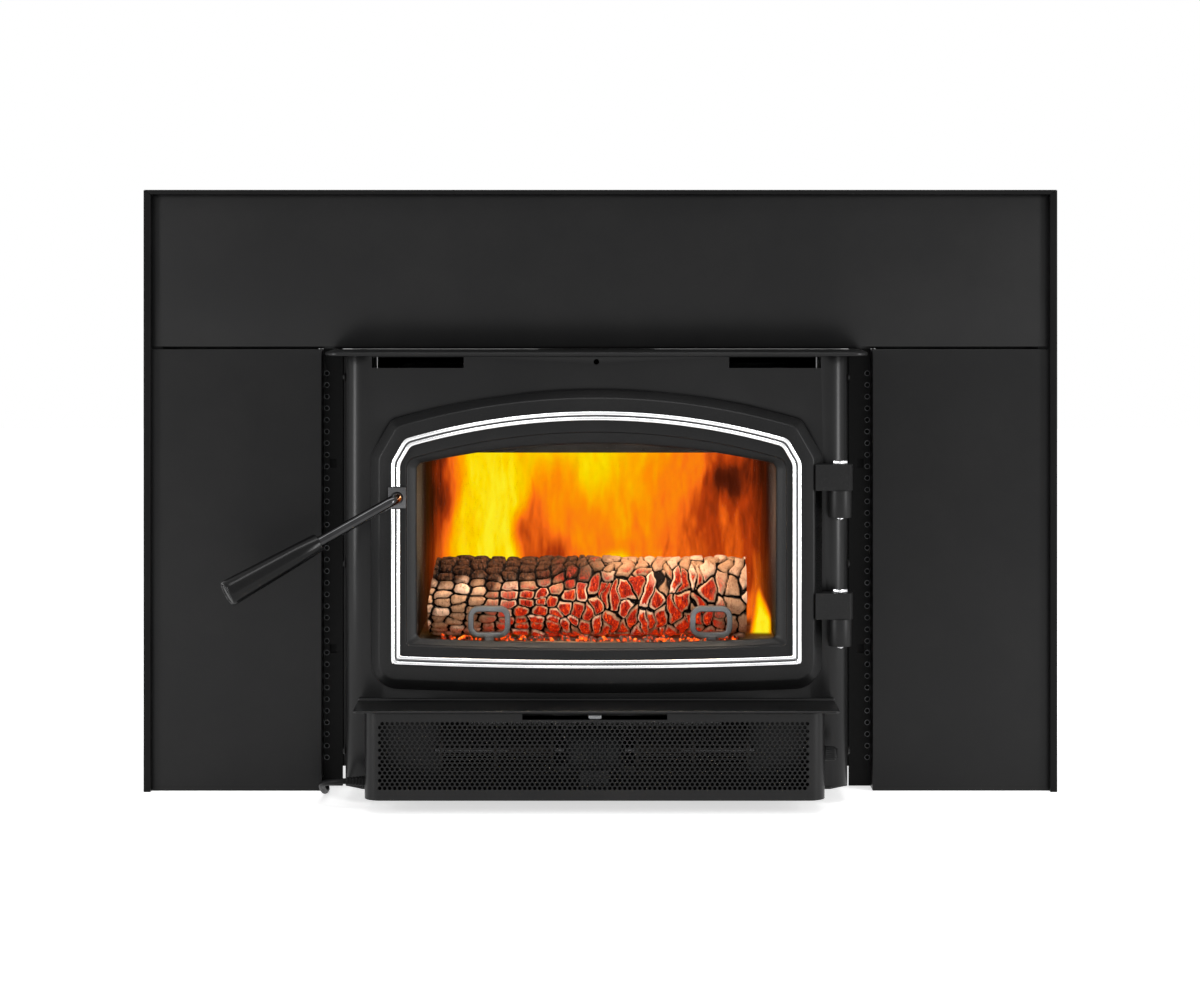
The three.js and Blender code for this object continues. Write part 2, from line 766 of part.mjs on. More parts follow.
function fireboxPlates() {
  for (const [name, side] of [
    ["firebox_left", -1],
    ["firebox_right", 1],
  ]) {
    const inner = middleX + side * fireboxHalf;
    const outer = inner + side * firebox.wall;
    const plate = block(
      Math.min(inner, outer),
      Math.max(inner, outer),
      fireFront,
      fireboxBack,
      body.bottom,
      fireboxTop,
    );
    add(name, plate, rawSteel);
  }
  add(
    "firebox_floor",
    block(fireLeft, fireRight, fireFront, plateBack - seat, firebox.floor, firebox.floor + firebox.wall),
    rawSteel,
  );
  add(
    "firebox_back",
    block(fireLeft, fireRight, plateBack, fireboxBack, firebox.floor, fireboxTop),
    rawSteel,
  );
  const roof = block(
    fireLeft,
    fireRight,
    fireFront,
    plateBack - seat,
    fireboxTop - firebox.wall,
    fireboxTop,
  );
  const smokeHole = bar(
    point(middleX, flue.y, fireboxTop - firebox.wall - 1),
    point(middleX, flue.y, fireboxTop + 1),
    flue.roofRadius,
    undefined,
    32,
  );
  add("firebox_roof", cut(roof, smokeHole), rawSteel);
}

function flueCollar() {
  const low = fireboxTop + seat;
  const rim = ledgeTop + flue.height;
  const profile = [
    [flue.innerRadius, low],
    [flue.outerRadius, low],
    [flue.outerRadius, rim],
    [flue.innerRadius, rim],
    [flue.innerRadius, low],
  ].map(([radius, z]) => new THREE.Vector2(radius, z));
  const collar = new THREE.LatheGeometry(profile, 40).rotateX(Math.PI / 2);
  add("flue_collar", collar.translate(middleX, flue.y, 0), rawSteel);
}

// Firebricks of one wall stand side by side; the joints between them are shallow grooves.
function fireBricks() {
  const grooves = (low, high) => {
    const places = [];
    const count = Math.max(1, Math.round((high - low) / brick.width));
    for (let i = 1; i < count; i++) places.push(low + ((high - low) * i) / count);
    return places;
  };
  const deep = brick.groove;
  const half = brick.groove / 2;

  const floorFront = fireFront + brick.floorSetback;
  const floorBack = plateBack - 2 * seat;
  const floor = block(fireLeft, fireRight, floorFront, floorBack, hearthZ, brickTop);
  const floorJoints = grooves(fireLeft, fireRight).map((x) =>
    block(x - half, x + half, floorFront - 1, floorBack + 1, brickTop - deep, brickTop + 1),
  );
  add("hearth_bricks", cut(floor, ...floorJoints), fireclay);

  const backFace = plateBack - 2 * seat - brick.thickness;
  const back = block(fireLeft, fireRight, backFace, backFace + brick.thickness, brickTop + seat, wallTop);
  const backJoints = grooves(fireLeft, fireRight).map((x) =>
    block(x - half, x + half, backFace - 1, backFace + deep, brickTop, wallTop + 1),
  );
  add("back_bricks", cut(back, ...backJoints), fireclay);

  for (const [name, side] of [
    ["left_bricks", -1],
    ["right_bricks", 1],
  ]) {
    const outer = middleX + side * insideHalf;
    const inner = outer - side * brick.thickness;
    const wallFront = fireFront + brick.setback;
    const wallEnd = backFace - seat;
    const wall = block(
      Math.min(inner, outer),
      Math.max(inner, outer),
      wallFront,
      wallEnd,
      brickTop + seat,
      wallTop,
    );
    const face = inner + side * deep;
    const joints = grooves(wallFront, wallEnd).map((y) =>
      block(
        Math.min(inner - side, face),
        Math.max(inner - side, face),
        y - half,
        y + half,
        brickTop,
        wallTop + 1,
      ),
    );
    add(name, cut(wall, ...joints), fireclay);
  }
}

function airTubes() {
  const names = ["air_tube_front", "air_tube_middle", "air_tube_rear"];
  const tubeEnd = insideHalf;
  for (let i = 0; i < airTube.count; i++) {
    const y = airTube.firstY + i * airTube.pitch;
    const from = point(middleX - tubeEnd, y, tubeZ);
    const to = point(middleX + tubeEnd, y, tubeZ);
    const over = point(1, 0, 0);
    const bore = bar(
      from.clone().sub(over),
      to.clone().add(over),
      airTube.radius - airTube.wall,
      undefined,
      12,
    );
    add(names[i], cut(bar(from, to, airTube.radius, undefined, 16), bore), steel);
  }
}

function baffleBoard() {
  const low = tubeZ + airTube.radius + seat;
  const back = plateBack - 2 * seat;
  add("baffle_board", block(fireLeft, fireRight, baffle.front, back, low, low + baffle.thickness), fireclay);
}

// Bent plate above the glass that sends air down its inner face.
function airWashDeflector() {
  const front = fireFront;
  const { sheet, reach } = deflector;
  const tipZ = wallTop + deflector.clear;
  const fold = fireboxTop - deflector.foldGap;
  const top = fireboxTop - deflector.topGap;
  const profile = [
    [front, fold],
    [front + reach - sheet, tipZ],
    [front + reach, tipZ],
    [front + sheet, fold],
    [front + sheet, top],
    [front, top],
  ];
  const half = fireboxHalf - deflector.sideGap;
  add("air_wash_deflector", drawnAcross(profile, middleX - half, middleX + half), rawSteel);
}

// Bent bar loops that keep the logs off the glass.
function andirons() {
  const rounded = (halfWidth, low, high, radius) => [
    ...arc(halfWidth - radius, low + radius, radius, -90, 0, 3),
    ...arc(halfWidth - radius, high - radius, radius, 0, 90, 3),
    ...arc(radius - halfWidth, high - radius, radius, 90, 180, 3),
    ...arc(radius - halfWidth, low + radius, radius, 180, 270, 3),
  ];
  const names = ["andiron_left", "andiron_right"];
  const stemTop = brickTop + andiron.stemHeight;
  andiron.offsets.forEach((x, i) => {
    const place = ([u, v]) => [u + x + middleX, v];
    const half = andiron.width / 2;
    const { bar: thick, depth, height, cornerRadius } = andiron;
    const front = body.front + andiron.setback - depth / 2;
    const outer = rounded(half, stemTop, stemTop + height, cornerRadius).map(place);
    const innerRadius = Math.max(cornerRadius - thick, 2);
    const inner = rounded(half - thick, stemTop + thick, stemTop + height - thick, innerRadius).map(place);
    const ring = cut(
      lofted([
        { points: outer, y: front },
        { points: outer, y: front + depth },
      ]),
      lofted([
        { points: inner, y: front - 1 },
        { points: inner, y: front + depth + 1 },
      ]),
    );
    const middle = x + middleX;
    const stem = block(
      middle - andiron.stem / 2,
      middle + andiron.stem / 2,
      front,
      front + depth,
      brickTop + seat,
      stemTop + thick / 2,
    );
    add(names[i], join(ring, stem), rawSteel);
  });
}

// A split log lying across the hearth: a few-sided bar that swells and narrows along its length.
function firewoodLog() {
  const stations = 6;
  const sides = 12;
  const centreZ = brickTop + seat + log.radius;
  const left = fireLeft + brick.thickness + log.leftGap;
  const right = fireRight - brick.thickness - log.rightGap;
  const positions = [];
  const faces = [];
  for (let i = 0; i <= stations; i++) {
    const share = i / stations;
    const x = left + (right - left) * share;
    const swell = 1 - log.narrowing * Math.sin(Math.PI * share);
    for (let k = 0; k < sides; k++) {
      const angle = ((k + 0.5) / sides) * 2 * Math.PI;
      const radius = log.radius * swell * (1 - log.hewn * (k % 3));
      positions.push(x, log.y + radius * Math.cos(angle), centreZ + radius * Math.sin(angle));
    }
  }
  for (let i = 0; i < stations; i++)
    for (let k = 0; k < sides; k++) {
      const a = i * sides + k;
      const b = i * sides + ((k + 1) % sides);
      faces.push(a, b, a + sides, b, b + sides, a + sides);
    }
  for (let k = 1; k + 1 < sides; k++) {
    faces.push(0, k + 1, k);
    const last = stations * sides;
    faces.push(last, last + k, last + k + 1);
  }
  const geometry = new THREE.BufferGeometry();
  geometry.setAttribute("position", new THREE.Float32BufferAttribute(positions, 3));
  geometry.setIndex(faces);
  geometry.computeBoundingBox();
  // Lowered until it lies on the bricks.
  geometry.translate(0, 0, brickTop + seat - geometry.boundingBox.min.z);
  add("firewood_log", geometry, bark);
}

// ---- Door ---------------------------------------------------------------------------------------
const glassInsets = (grow) => ({
  side: opening.side - grow,
  top: opening.top - grow,
  bottom: opening.bottom - grow,
  archRadius: opening.archRadius,
  cornerRadius: opening.cornerRadius + grow,
});

function doorLug(top) {
  const { lugRadius } = hinge;
  const left = hingeX - hinge.lugReach;
  const front = doorFace - hinge.lugProud;
  const straight = [
    [left, doorBack],
    [left, front],
    [hingeX + lugRadius * 0.6, front],
  ];
  const round = arc(hingeX, hingeY, lugRadius, -35, 45, 6);
  return raised([...straight, ...round, [hingeX, doorBack]], top - hinge.lugHeight, top);
}

function doorFrame() {
  const face = { side: door.bevelSide, top: door.bevelTop, bottom: door.bevelBottom };
  const plate = lofted([
    outlineLayer(face, doorFace),
    outlineLayer({ side: 0 }, doorRim),
    outlineLayer({ side: 0 }, doorBack),
  ]);
  const boss = block(
    handleX - handle.bossWidth / 2,
    handleX + handle.bossWidth / 2,
    doorFace - handle.bossRise,
    doorBack,
    handle.z - handle.bossHeight / 2,
    handle.z + handle.bossHeight / 2,
  );
  const whole = join(plate, boss, ...hinge.lugTops.map(doorLug));
  const window = lofted([
    outlineLayer(step, doorFace - 1),
    outlineLayer(step, doorFace + 2),
    outlineLayer(glassInsets(0), lipY - opening.lip),
    outlineLayer(glassInsets(0), doorBack + 1),
  ]);
  const rebate = doorSlab(glassInsets(glass.overlap + seat), lipY, doorBack + 1);
  const channel = cut(
    doorSlab({ side: sealInset.outer - seat }, doorBack - sealGroove, doorBack + 1),
    doorSlab({ side: sealInset.inner + seat }, doorBack - sealGroove - 1, doorBack + 2),
  );
  const rodHole = bar(
    point(handleX, doorFace - handle.bossRise - 1, handle.z),
    point(handleX, doorBack + 1, handle.z),
    handle.rodRadius + running,
    undefined,
    20,
  );
  const pinHoles = hinge.lugTops.map((top) =>
    bar(
      point(hingeX, hingeY, top - hinge.lugHeight - 1),
      point(hingeX, hingeY, top + 1),
      hinge.pinRadius + seat,
      undefined,
      16,
    ),
  );
  add("door_frame", cut(whole, window, rebate, channel, rodHole, ...pinHoles), castIron);
}

// Raised nickel moulding round the window, open where the handle's boss stands.
function doorBead() {
  const insetBy = (extra) => ({
    side: bead.side + extra,
    top: bead.top + extra,
    bottom: bead.bottom + extra,
    cornerRadius: Math.max(bead.cornerRadius - extra / 3, 1.5),
  });
  const { width, chamfer } = bead;
  const back = doorFace - seat;
  const front = back - bead.height;
  const outer = lofted([
    outlineLayer(insetBy(chamfer), front),
    outlineLayer(insetBy(0), front + chamfer),
    outlineLayer(insetBy(0), back),
  ]);
  // The chamfer runs on a little past the front, so that the cut leaves no skin there.
  const past = 0.01;
  const inner = lofted([
    outlineLayer(insetBy(width - chamfer - past), front - past),
    outlineLayer(insetBy(width), front + chamfer),
    outlineLayer(insetBy(width), back + 1),
  ]);
  const grooveBack = front + bead.grooveDepth;
  const groove = cut(
    doorSlab(insetBy((width - bead.grooveWidth) / 2), front - 1, grooveBack),
    doorSlab(insetBy((width + bead.grooveWidth) / 2), front - 2, grooveBack + 1),
  );
  const gapHalf = handle.bossHeight / 2 + seat;
  const bossGap = block(
    handleX - handle.bossWidth,
    handleX + handle.bossWidth,
    front - 1,
    back + 1,
    handle.z - gapHalf,
    handle.z + gapHalf,
  );
  add("door_bead", cut(outer, inner, groove, bossGap), nickel);
}

function doorGlazing() {
  const sealFront = lipY + seat;
  const glassFront = sealFront + glass.seal + seat;
  const sealRing = cut(
    doorSlab(glassInsets(glass.overlap), sealFront, sealFront + glass.seal),
    doorSlab(glassInsets(glass.overlap - glass.sealWidth), sealFront - 1, sealFront + glass.seal + 1),
  );
  add("glass_seal", sealRing, rope);
  add(
    "door_glass",
    doorSlab(glassInsets(glass.overlap), glassFront, glassFront + glass.thickness),
    ceramicGlass,
  );
  const clampFront = doorBack + seat;
  const clamp = cut(
    doorSlab(glassInsets(glass.clampOuter), clampFront, clampFront + glass.clamp),
    doorSlab(glassInsets(glass.clampInner), clampFront - 1, clampFront + glass.clamp + 1),
  );
  add("glass_clamp", clamp, rawSteel);
  const sealBack = body.front - seat;
  const doorSeal = cut(
    doorSlab({ side: sealInset.outer }, doorBack - sealGroove + seat, sealBack),
    doorSlab({ side: sealInset.inner }, doorBack - sealGroove - 1, sealBack + 1),
  );
  add("door_seal", doorSeal, rope);
}

function hinges() {
  const names = ["lower", "upper"];
  hinge.lugTops.forEach((top, i) => {
    const lugBottom = top - hinge.lugHeight;
    const barrelTop = lugBottom - seat;
    const barrelBottom = barrelTop - hinge.barrelHeight;
    const x = hingeX;
    const y = hingeY;
    const footX = x - hinge.footOffset;
    const weldFoot = block(
      footX - hinge.footWidth / 2,
      footX + hinge.footWidth / 2,
      y,
      body.front - seat,
      barrelBottom,
      barrelTop,
    );
    const tube = bar(point(x, y, barrelBottom), point(x, y, barrelTop), hinge.barrelRadius, undefined, 20);
    const bore = bar(
      point(x, y, barrelBottom - 1),
      point(x, y, barrelTop + 1),
      hinge.pinRadius + running,
      undefined,
      20,
    );
    add("hinge_barrel_" + names[i], cut(join(tube, weldFoot), bore), castIron);
    const headLow = top + seat;
    const shank = bar(point(x, y, barrelBottom - hinge.pinTail), point(x, y, headLow + 1), hinge.pinRadius);
    const head = bar(
      point(x, y, headLow),
      point(x, y, headLow + hinge.headHeight),
      hinge.headRadius,
      undefined,
      20,
    );
    add("hinge_pin_" + names[i], join(shank, head), steel);
  });
}

// ---- Handle and latch ---------------------------------------------------------------------------
const outDirection = point(
  -Math.cos(radians(handle.droop)) * Math.cos(radians(handle.tilt)),
  -Math.sin(radians(handle.tilt)),
  -Math.sin(radians(handle.droop)) * Math.cos(radians(handle.tilt)),
);

// The rod comes straight out of the door, bends and slants down to the grip.
function handleRod() {
  const forward = point(0, -1, 0);
  const start = point(handleX, camFront + cam.thickness + handle.tail, handle.z);
  const bendStart = point(handleX, doorFace - handle.bossRise - handle.bendClear, handle.z);
  const turn = forward.angleTo(outDirection);
  const sideways = outDirection.clone().addScaledVector(forward, -outDirection.dot(forward)).normalize();
  const centre = bendStart.clone().addScaledVector(sideways, handle.bend);
  const path = new THREE.CurvePath();
  path.add(new THREE.LineCurve3(start, bendStart));
  const steps = 6;
  let last = bendStart;
  for (let i = 1; i <= steps; i++) {
    const angle = (turn * i) / steps;
    const next = centre
      .clone()
      .addScaledVector(sideways, -handle.bend * Math.cos(angle))
      .addScaledVector(forward, handle.bend * Math.sin(angle));
    path.add(new THREE.LineCurve3(last, next));
    last = next;
  }
  const gripStart = last.clone().addScaledVector(outDirection, handle.reach);
  path.add(new THREE.LineCurve3(last, gripStart));
  const corners = [start, ...path.curves.map((curve) => curve.v2)];
  add("handle_rod", tubeThrough(corners, handle.rodRadius, 16), steel);
  return gripStart;
}

// A tube of the given radius through a list of points, closed at both ends.
function tubeThrough(points, radius, sides) {
  const directions = points.map((p, i) => {
    const before = points[Math.max(i - 1, 0)];
    const after = points[Math.min(i + 1, points.length - 1)];
    return after.clone().sub(before).normalize();
  });
  const first = Math.abs(directions[0].z) < 0.9 ? point(0, 0, 1) : point(1, 0, 0);
  let normal = first.addScaledVector(directions[0], -first.dot(directions[0])).normalize();
  const positions = [];
  const faces = [];
  points.forEach((p, i) => {
    normal = normal.clone().addScaledVector(directions[i], -normal.dot(directions[i])).normalize();
    const across = directions[i].clone().cross(normal);
    for (let k = 0; k < sides; k++) {
      const angle = (2 * Math.PI * k) / sides;
      const rim = p
        .clone()
        .addScaledVector(normal, radius * Math.cos(angle))
        .addScaledVector(across, radius * Math.sin(angle));
      positions.push(...rim.toArray());
    }
  });
  for (let i = 0; i + 1 < points.length; i++)
    for (let k = 0; k < sides; k++) {
      const a = i * sides + k;
      const b = i * sides + ((k + 1) % sides);
      faces.push(a, b, a + sides, b, b + sides, a + sides);
    }
  const end = (points.length - 1) * sides;
  for (let k = 1; k + 1 < sides; k++) {
    faces.push(0, k + 1, k);
    faces.push(end, end + k, end + k + 1);
  }
  const geometry = new THREE.BufferGeometry();
  geometry.setAttribute("position", new THREE.Float32BufferAttribute(positions, 3));
  geometry.setIndex(faces);
  return geometry;
}

function handleGrip(rodEnd) {
  const rounding = handle.gripRounding;
  const profile = [
    [0, seat],
    [handle.gripStart - rounding / 2, seat],
    [handle.gripStart, seat + rounding / 2],
    [handle.gripEnd, handle.gripLength - rounding],
    [handle.gripEnd - rounding, handle.gripLength],
    [0, handle.gripLength],
  ].map(([radius, along]) => new THREE.Vector2(radius, along));
  const turn = new THREE.Quaternion().setFromUnitVectors(point(0, 1, 0), outDirection);
  const grip = new THREE.LatheGeometry(profile, 24).applyQuaternion(turn);
  add("handle_grip", grip.translate(...rodEnd.toArray()), plastic);
}

// Finger on the inner end of the rod. It stands upright while the door is latched.
function latchCam() {
  const back = camFront + cam.thickness;
  const half = cam.width / 2;
  const hub = bar(point(handleX, camFront, handle.z), point(handleX, back, handle.z), cam.hubRadius);
  const finger = block(handleX - half, handleX + half, camFront, back, handle.z, handle.z + cam.length);
  const bore = bar(
    point(handleX, camFront - 1, handle.z),
    point(handleX, back + 1, handle.z),
    handle.rodRadius + seat,
  );
  add("latch_cam", cut(join(hub, finger), bore), rawSteel);
}

// Wedge welded inside the firebox wall, just above the finger's path.
function latchCatch() {
  const wall = middleX - fireboxHalf + seat;
  const { clear, depth, height, width } = catchPlate;
  const front = fireFront;
  const bottom = handle.z + cam.length + clear;
  const outline = [
    [wall, front],
    [wall + width / 2, front],
    [wall + width, front + depth / 2],
    [wall + width, front + depth],
    [wall, front + depth],
  ];
  add("catch_plate", raised(outline, bottom, bottom + height), rawSteel);
}

// ---- Ash lip, blower and air control ------------------------------------------------------------
function ashLip() {
  const low = lipTop - lip.thickness;
  const back = body.front - seat;
  const half = body.halfWidth - lip.sideInset;
  const front = body.front - lip.reach;
  const { corner } = lip;
  const outline = [
    [-half, back],
    [-half, front + corner],
    [corner - half, front],
    [half - corner, front],
    [half, front + corner],
    [half, back],
  ].map(([x, y]) => [x + middleX, y]);
  const upstand = block(
    middleX - half,
    middleX + half,
    back - lip.thickness,
    back,
    low,
    lipTop + lip.upstand,
  );
  add("ash_lip", join(raised(outline, low, lipTop), upstand), blackPaint);
}

function blowerCover() {
  const back = body.front - seat;
  const cornerAt = coverFront + blower.cornerRadius;
  const half = coverHalf;
  const outerR = blower.cornerRadius;
  const innerR = outerR - blower.sheet;
  const outline = [
    [-half, back],
    ...arc(outerR - half, cornerAt, outerR, 180, 270, 5),
    ...arc(half - outerR, cornerAt, outerR, 270, 360, 5),
    [half, back],
    [half - blower.sheet, back],
    ...arc(half - outerR, cornerAt, innerR, 360, 270, 5),
    ...arc(outerR - half, cornerAt, innerR, 270, 180, 5),
    [blower.sheet - half, back],
  ].map(([x, y]) => [x + blower.middleX, y]);
  const wrap = raised(outline, coverBottom, blower.top);
  const through = [coverFront - 1, coverFront + blower.sheet + 1];
  const notch = block(
    blower.middleX - blower.notchWidth / 2,
    blower.middleX + blower.notchWidth / 2,
    ...through,
    blower.top - blower.notchDepth,
    blower.top + 1,
  );
  const holes = [];
  const room = 2 * (half - blower.cornerRadius - grille.holeRadius);
  const columns = Math.floor(room / grille.pitchX) + 1;
  for (let row = 0; row < grille.rows; row++)
    for (let column = 0; column < columns; column++) {
      const shift = (row % 2 ? 0.25 : -0.25) * grille.pitchX;
      const x = blower.middleX + (column - (columns - 1) / 2) * grille.pitchX + shift;
      const z = grille.z + row * grille.pitchZ;
      holes.push(hexHole(point(x, through[0], z), point(x, through[1], z), grille.holeRadius));
    }
  const left = blower.middleX - half;
  const cordHole = bar(
    point(left - 1, cord.exitY, cord.exitZ),
    point(left + blower.sheet + 1, cord.exitY, cord.exitZ),
    cord.neck + seat,
    undefined,
    12,
  );
  const right = blower.middleX + half;
  const knobY = body.front - speedKnob.standoff;
  const knobHole = bar(
    point(right - blower.sheet - 1, knobY, speedKnob.z),
    point(right + 1, knobY, speedKnob.z),
    speedKnob.stub + running,
    undefined,
    12,
  );
  add("blower_cover", cut(wrap, notch, ...holes, cordHole, knobHole), blackPaint);
}

function blowerDrive() {
  const { middleX: x, axisZ: z } = blower;
  const y = axisY;
  const shaftEnds = [point(x - rotor.halfLength, y, z), point(x + rotor.halfLength, y, z)];
  const drum = bar(point(x - motor.halfLength, y, z), point(x + motor.halfLength, y, z), motor.radius);
  const footHalf = motor.footWidth / 2;
  const saddle = block(
    x - footHalf,
    x + footHalf,
    y - footHalf,
    y + footHalf,
    body.bottom,
    body.bottom + motor.footHeight,
  );
  const over = point(1, 0, 0);
  const bore = bar(
    point(x - motor.halfLength, y, z).sub(over),
    point(x + motor.halfLength, y, z).add(over),
    rotor.shaftRadius + running,
    undefined,
    16,
  );
  add("blower_motor", cut(join(drum, saddle), bore), rawSteel);
  add("blower_shaft", bar(...shaftEnds, rotor.shaftRadius, undefined, 12), steel);
  const bored = rotor.shaftRadius + seat;
  const length = rotor.wheelEnd - rotor.wheelStart;
  // A cage wheel: a hub disc at the motor's end and a drum that is open at the other.
  const profile = [
    [0, bored],
    [0, rotor.radius],
    [length, rotor.radius],
    [length, rotor.radius - rotor.wall],
    [rotor.disc, rotor.radius - rotor.wall],
    [rotor.disc, bored + rotor.hubWall],
    [rotor.hubLength, bored + rotor.hubWall],
    [rotor.hubLength, bored],
    [0, bored],
  ];
  const wheel = turnedAlongX(profile, 0, 0, 0, 20);
  add("blower_wheel_right", wheel.clone().translate(x + rotor.wheelStart, y, z), rawSteel);
  add("blower_wheel_left", wheel.rotateZ(Math.PI).translate(x - rotor.wheelStart, y, z), rawSteel);
}

function speedControl() {
  const face = blower.middleX + coverHalf;
  const { z, radius, length, stub, ridge, ridgeWidth } = speedKnob;
  const y = body.front - speedKnob.standoff;
  const dial = turnedAlongX(
    [
      [-blower.sheet - 3, 0],
      [-blower.sheet - 3, stub],
      [seat, stub],
      [seat, radius],
      [length - 2, radius * 0.9],
      [length, radius * 0.75],
      [length, 0],
    ],
    face,
    y,
    z,
  );
  const pointer = block(
    face + length - 2,
    face + length + ridge,
    y - ridgeWidth / 2,
    y + ridgeWidth / 2,
    z - radius * 0.7,
    z + radius * 0.7,
  );
  add("speed_knob", join(dial, pointer), plastic);
}

function airControl() {
  const half = airSlider.width / 2;
  const { x, thickness, corner } = airSlider;
  const z = sliderZ;
  const front = coverFront - airSlider.proud;
  const back = sliderBack;
  const tab = [
    [x - half, back],
    [x - half, front + corner],
    ...arc(x - half + corner, front + corner, corner, 180, 270, 3),
    ...arc(x + half - corner, front + corner, corner, 270, 360, 3),
    [x + half, back],
  ];
  const valve = block(
    x - airValve.width / 2,
    x + airValve.width / 2,
    back - airValve.depth / 2,
    back + airValve.depth / 2,
    z + thickness - airValve.thickness,
    z + thickness,
  );
  add("air_slider", join(raised(tab, z, z + thickness), valve), steel);
}

// ---- Power cord ---------------------------------------------------------------------------------
function powerCord() {
  const gland = turnedAlongX(
    [
      [0, 0],
      [0, cord.radius + cord.reliefStart],
      [cord.reliefLength, cord.reliefRadius],
      [cord.reliefLength + seat, cord.neck],
      [cord.reliefLength + seat + blower.sheet + 2, cord.neck],
      [cord.reliefLength + seat + blower.sheet + 2, 0],
    ],
    coverLeft - cord.reliefLength - seat,
    cord.exitY,
    cord.exitZ,
    12,
  );
  add("cord_gland", gland, cordJacket);
  const route = new THREE.CatmullRomCurve3(cordLine.map(([x, y, z]) => point(x, y, z)));
  const leadPoints = route.getPoints(40);
  add("power_cord_lead", tubeThrough(leadPoints, cord.radius, 8), cordJacket);

  const start = cordLine[cordLine.length - 1];
  const coilX = start[0] - coil.ahead;
  const outerRadius = coil.innerRadius + coil.pitch * coil.turnsIn;
  const centreY = start[1] + outerRadius;
  const low = start[2];
  const place = (turn) => {
    const radius = coil.innerRadius + coil.pitch * Math.abs(turn - coil.turnsIn);
    const angle = -Math.PI / 2 - 2 * Math.PI * turn;
    const climb = THREE.MathUtils.smoothstep(turn, coil.turnsIn - 0.25, coil.turnsIn + 0.25);
    return point(
      coilX + radius * Math.cos(angle),
      centreY + radius * Math.sin(angle),
      low + coil.pitch * climb,
    );
  };
  const steps = coil.turns * coil.stepsPerTurn;
  const points = [point(start[0] - seat, start[1], low)];
  for (let i = 0; i <= steps; i++) points.push(place(i / coil.stepsPerTurn));
  const endAngle = -Math.PI / 2 - 2 * Math.PI * coil.turns;
  const heading = point(Math.sin(endAngle), -Math.cos(endAngle), 0);
  const diameter = 2 * cord.radius;
  const end = points[points.length - 1].clone().addScaledVector(heading, diameter);
  points.push(end);
  add("power_cord_coil", tubeThrough(points, cord.radius, coil.sides), cordJacket);
  const gap = leastGap(points, diameter, coil.stepsPerTurn / 2);
  const length = (list) => list.slice(1).reduce((sum, p, i) => sum + p.distanceTo(list[i]), 0);
  console.log("coil: least gap to itself " + gap.toFixed(2) + " mm");
  console.log("cord length " + (length(leadPoints) + length(points)).toFixed(0) + " mm");

  const tip = end.clone().addScaledVector(heading, seat);
  const along = (distance) => tip.clone().addScaledVector(heading, distance);
  const across = heading.clone().cross(point(0, 0, 1));
  const reliefEnd = plug.relief + seat;
  const boot = bar(along(0), along(reliefEnd), plug.reliefRadius, plug.radius * 0.65, 12);
  const shell = bar(along(plug.relief), along(plug.relief + plug.body), plug.radius, undefined, 16);
  const bladeStart = plug.relief + plug.body - 2;
  const bladeEnd = plug.relief + plug.body + plug.blade;
  const blades = [-1, 1].map((side) => {
    const centre = along((bladeStart + bladeEnd) / 2).addScaledVector(across, side * plug.bladeOffset);
    const halfThick = plug.bladeThick / 2;
    const halfLength = (bladeEnd - bladeStart) / 2;
    const alongY = Math.abs(heading.y) > 0.5;
    const halfX = alongY ? halfThick : halfLength;
    const halfY = alongY ? halfLength : halfThick;
    return block(
      centre.x - halfX,
      centre.x + halfX,
      centre.y - halfY,
      centre.y + halfY,
      centre.z - plug.bladeDrop,
      centre.z - plug.bladeDrop + plug.bladeWidth,
    );
  });
  const below = point(0, 0, -plug.earthDrop);
  const earth = bar(
    along(bladeStart).add(below),
    along(bladeEnd + 2).add(below),
    plug.earthRadius,
    undefined,
    10,
  );
  add("power_plug", join(boot, shell, ...blades, earth), plastic);
}

// Least clear distance between two stretches of the coil at least a given number of steps apart.
function leastGap(points, diameter, apart) {
  let least = Infinity;
  for (let i = 0; i + 1 < points.length; i++)
    for (let k = i + Math.ceil(apart); k + 1 < points.length; k++)
      least = Math.min(least, segmentDistance(points[i], points[i + 1], points[k], points[k + 1]));
  return least - diameter;
}

function segmentDistance(a, b, c, d) {
  let least = Infinity;
  const samples = 4;
  const line = new THREE.Line3(c, d);
  const nearest = new THREE.Vector3();
  for (let i = 0; i <= samples; i++) {
    const p = a.clone().lerp(b, i / samples);
    line.closestPointToPoint(p, true, nearest);
    least = Math.min(least, p.distanceTo(nearest));
  }
  return least;
}

// ---- Assembly -----------------------------------------------------------------------------------
surroundPanels();
surroundTrim();
surroundBrackets();
casingFront();
casingSides();
casingTop();
basePlate();
feet();
fireboxPlates();
flueCollar();
fireBricks();
airTubes();
baffleBoard();
airWashDeflector();
andirons();
firewoodLog();
doorFrame();
doorBead();
doorGlazing();
hinges();
handleGrip(handleRod());
latchCam();
latchCatch();
ashLip();
blowerCover();
blowerDrive();
speedControl();
airControl();
// The origin goes under the middle of the whole insert, before its cord is laid beside it.
const whole = new THREE.Box3().setFromObject(insert, true);
powerCord();
insert.position.y = -(whole.min.y + whole.max.y) / 2;
insert.position.x = -(whole.min.x + whole.max.x) / 2;

export default insert;
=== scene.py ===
import json
import math

import bpy
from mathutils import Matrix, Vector, noise


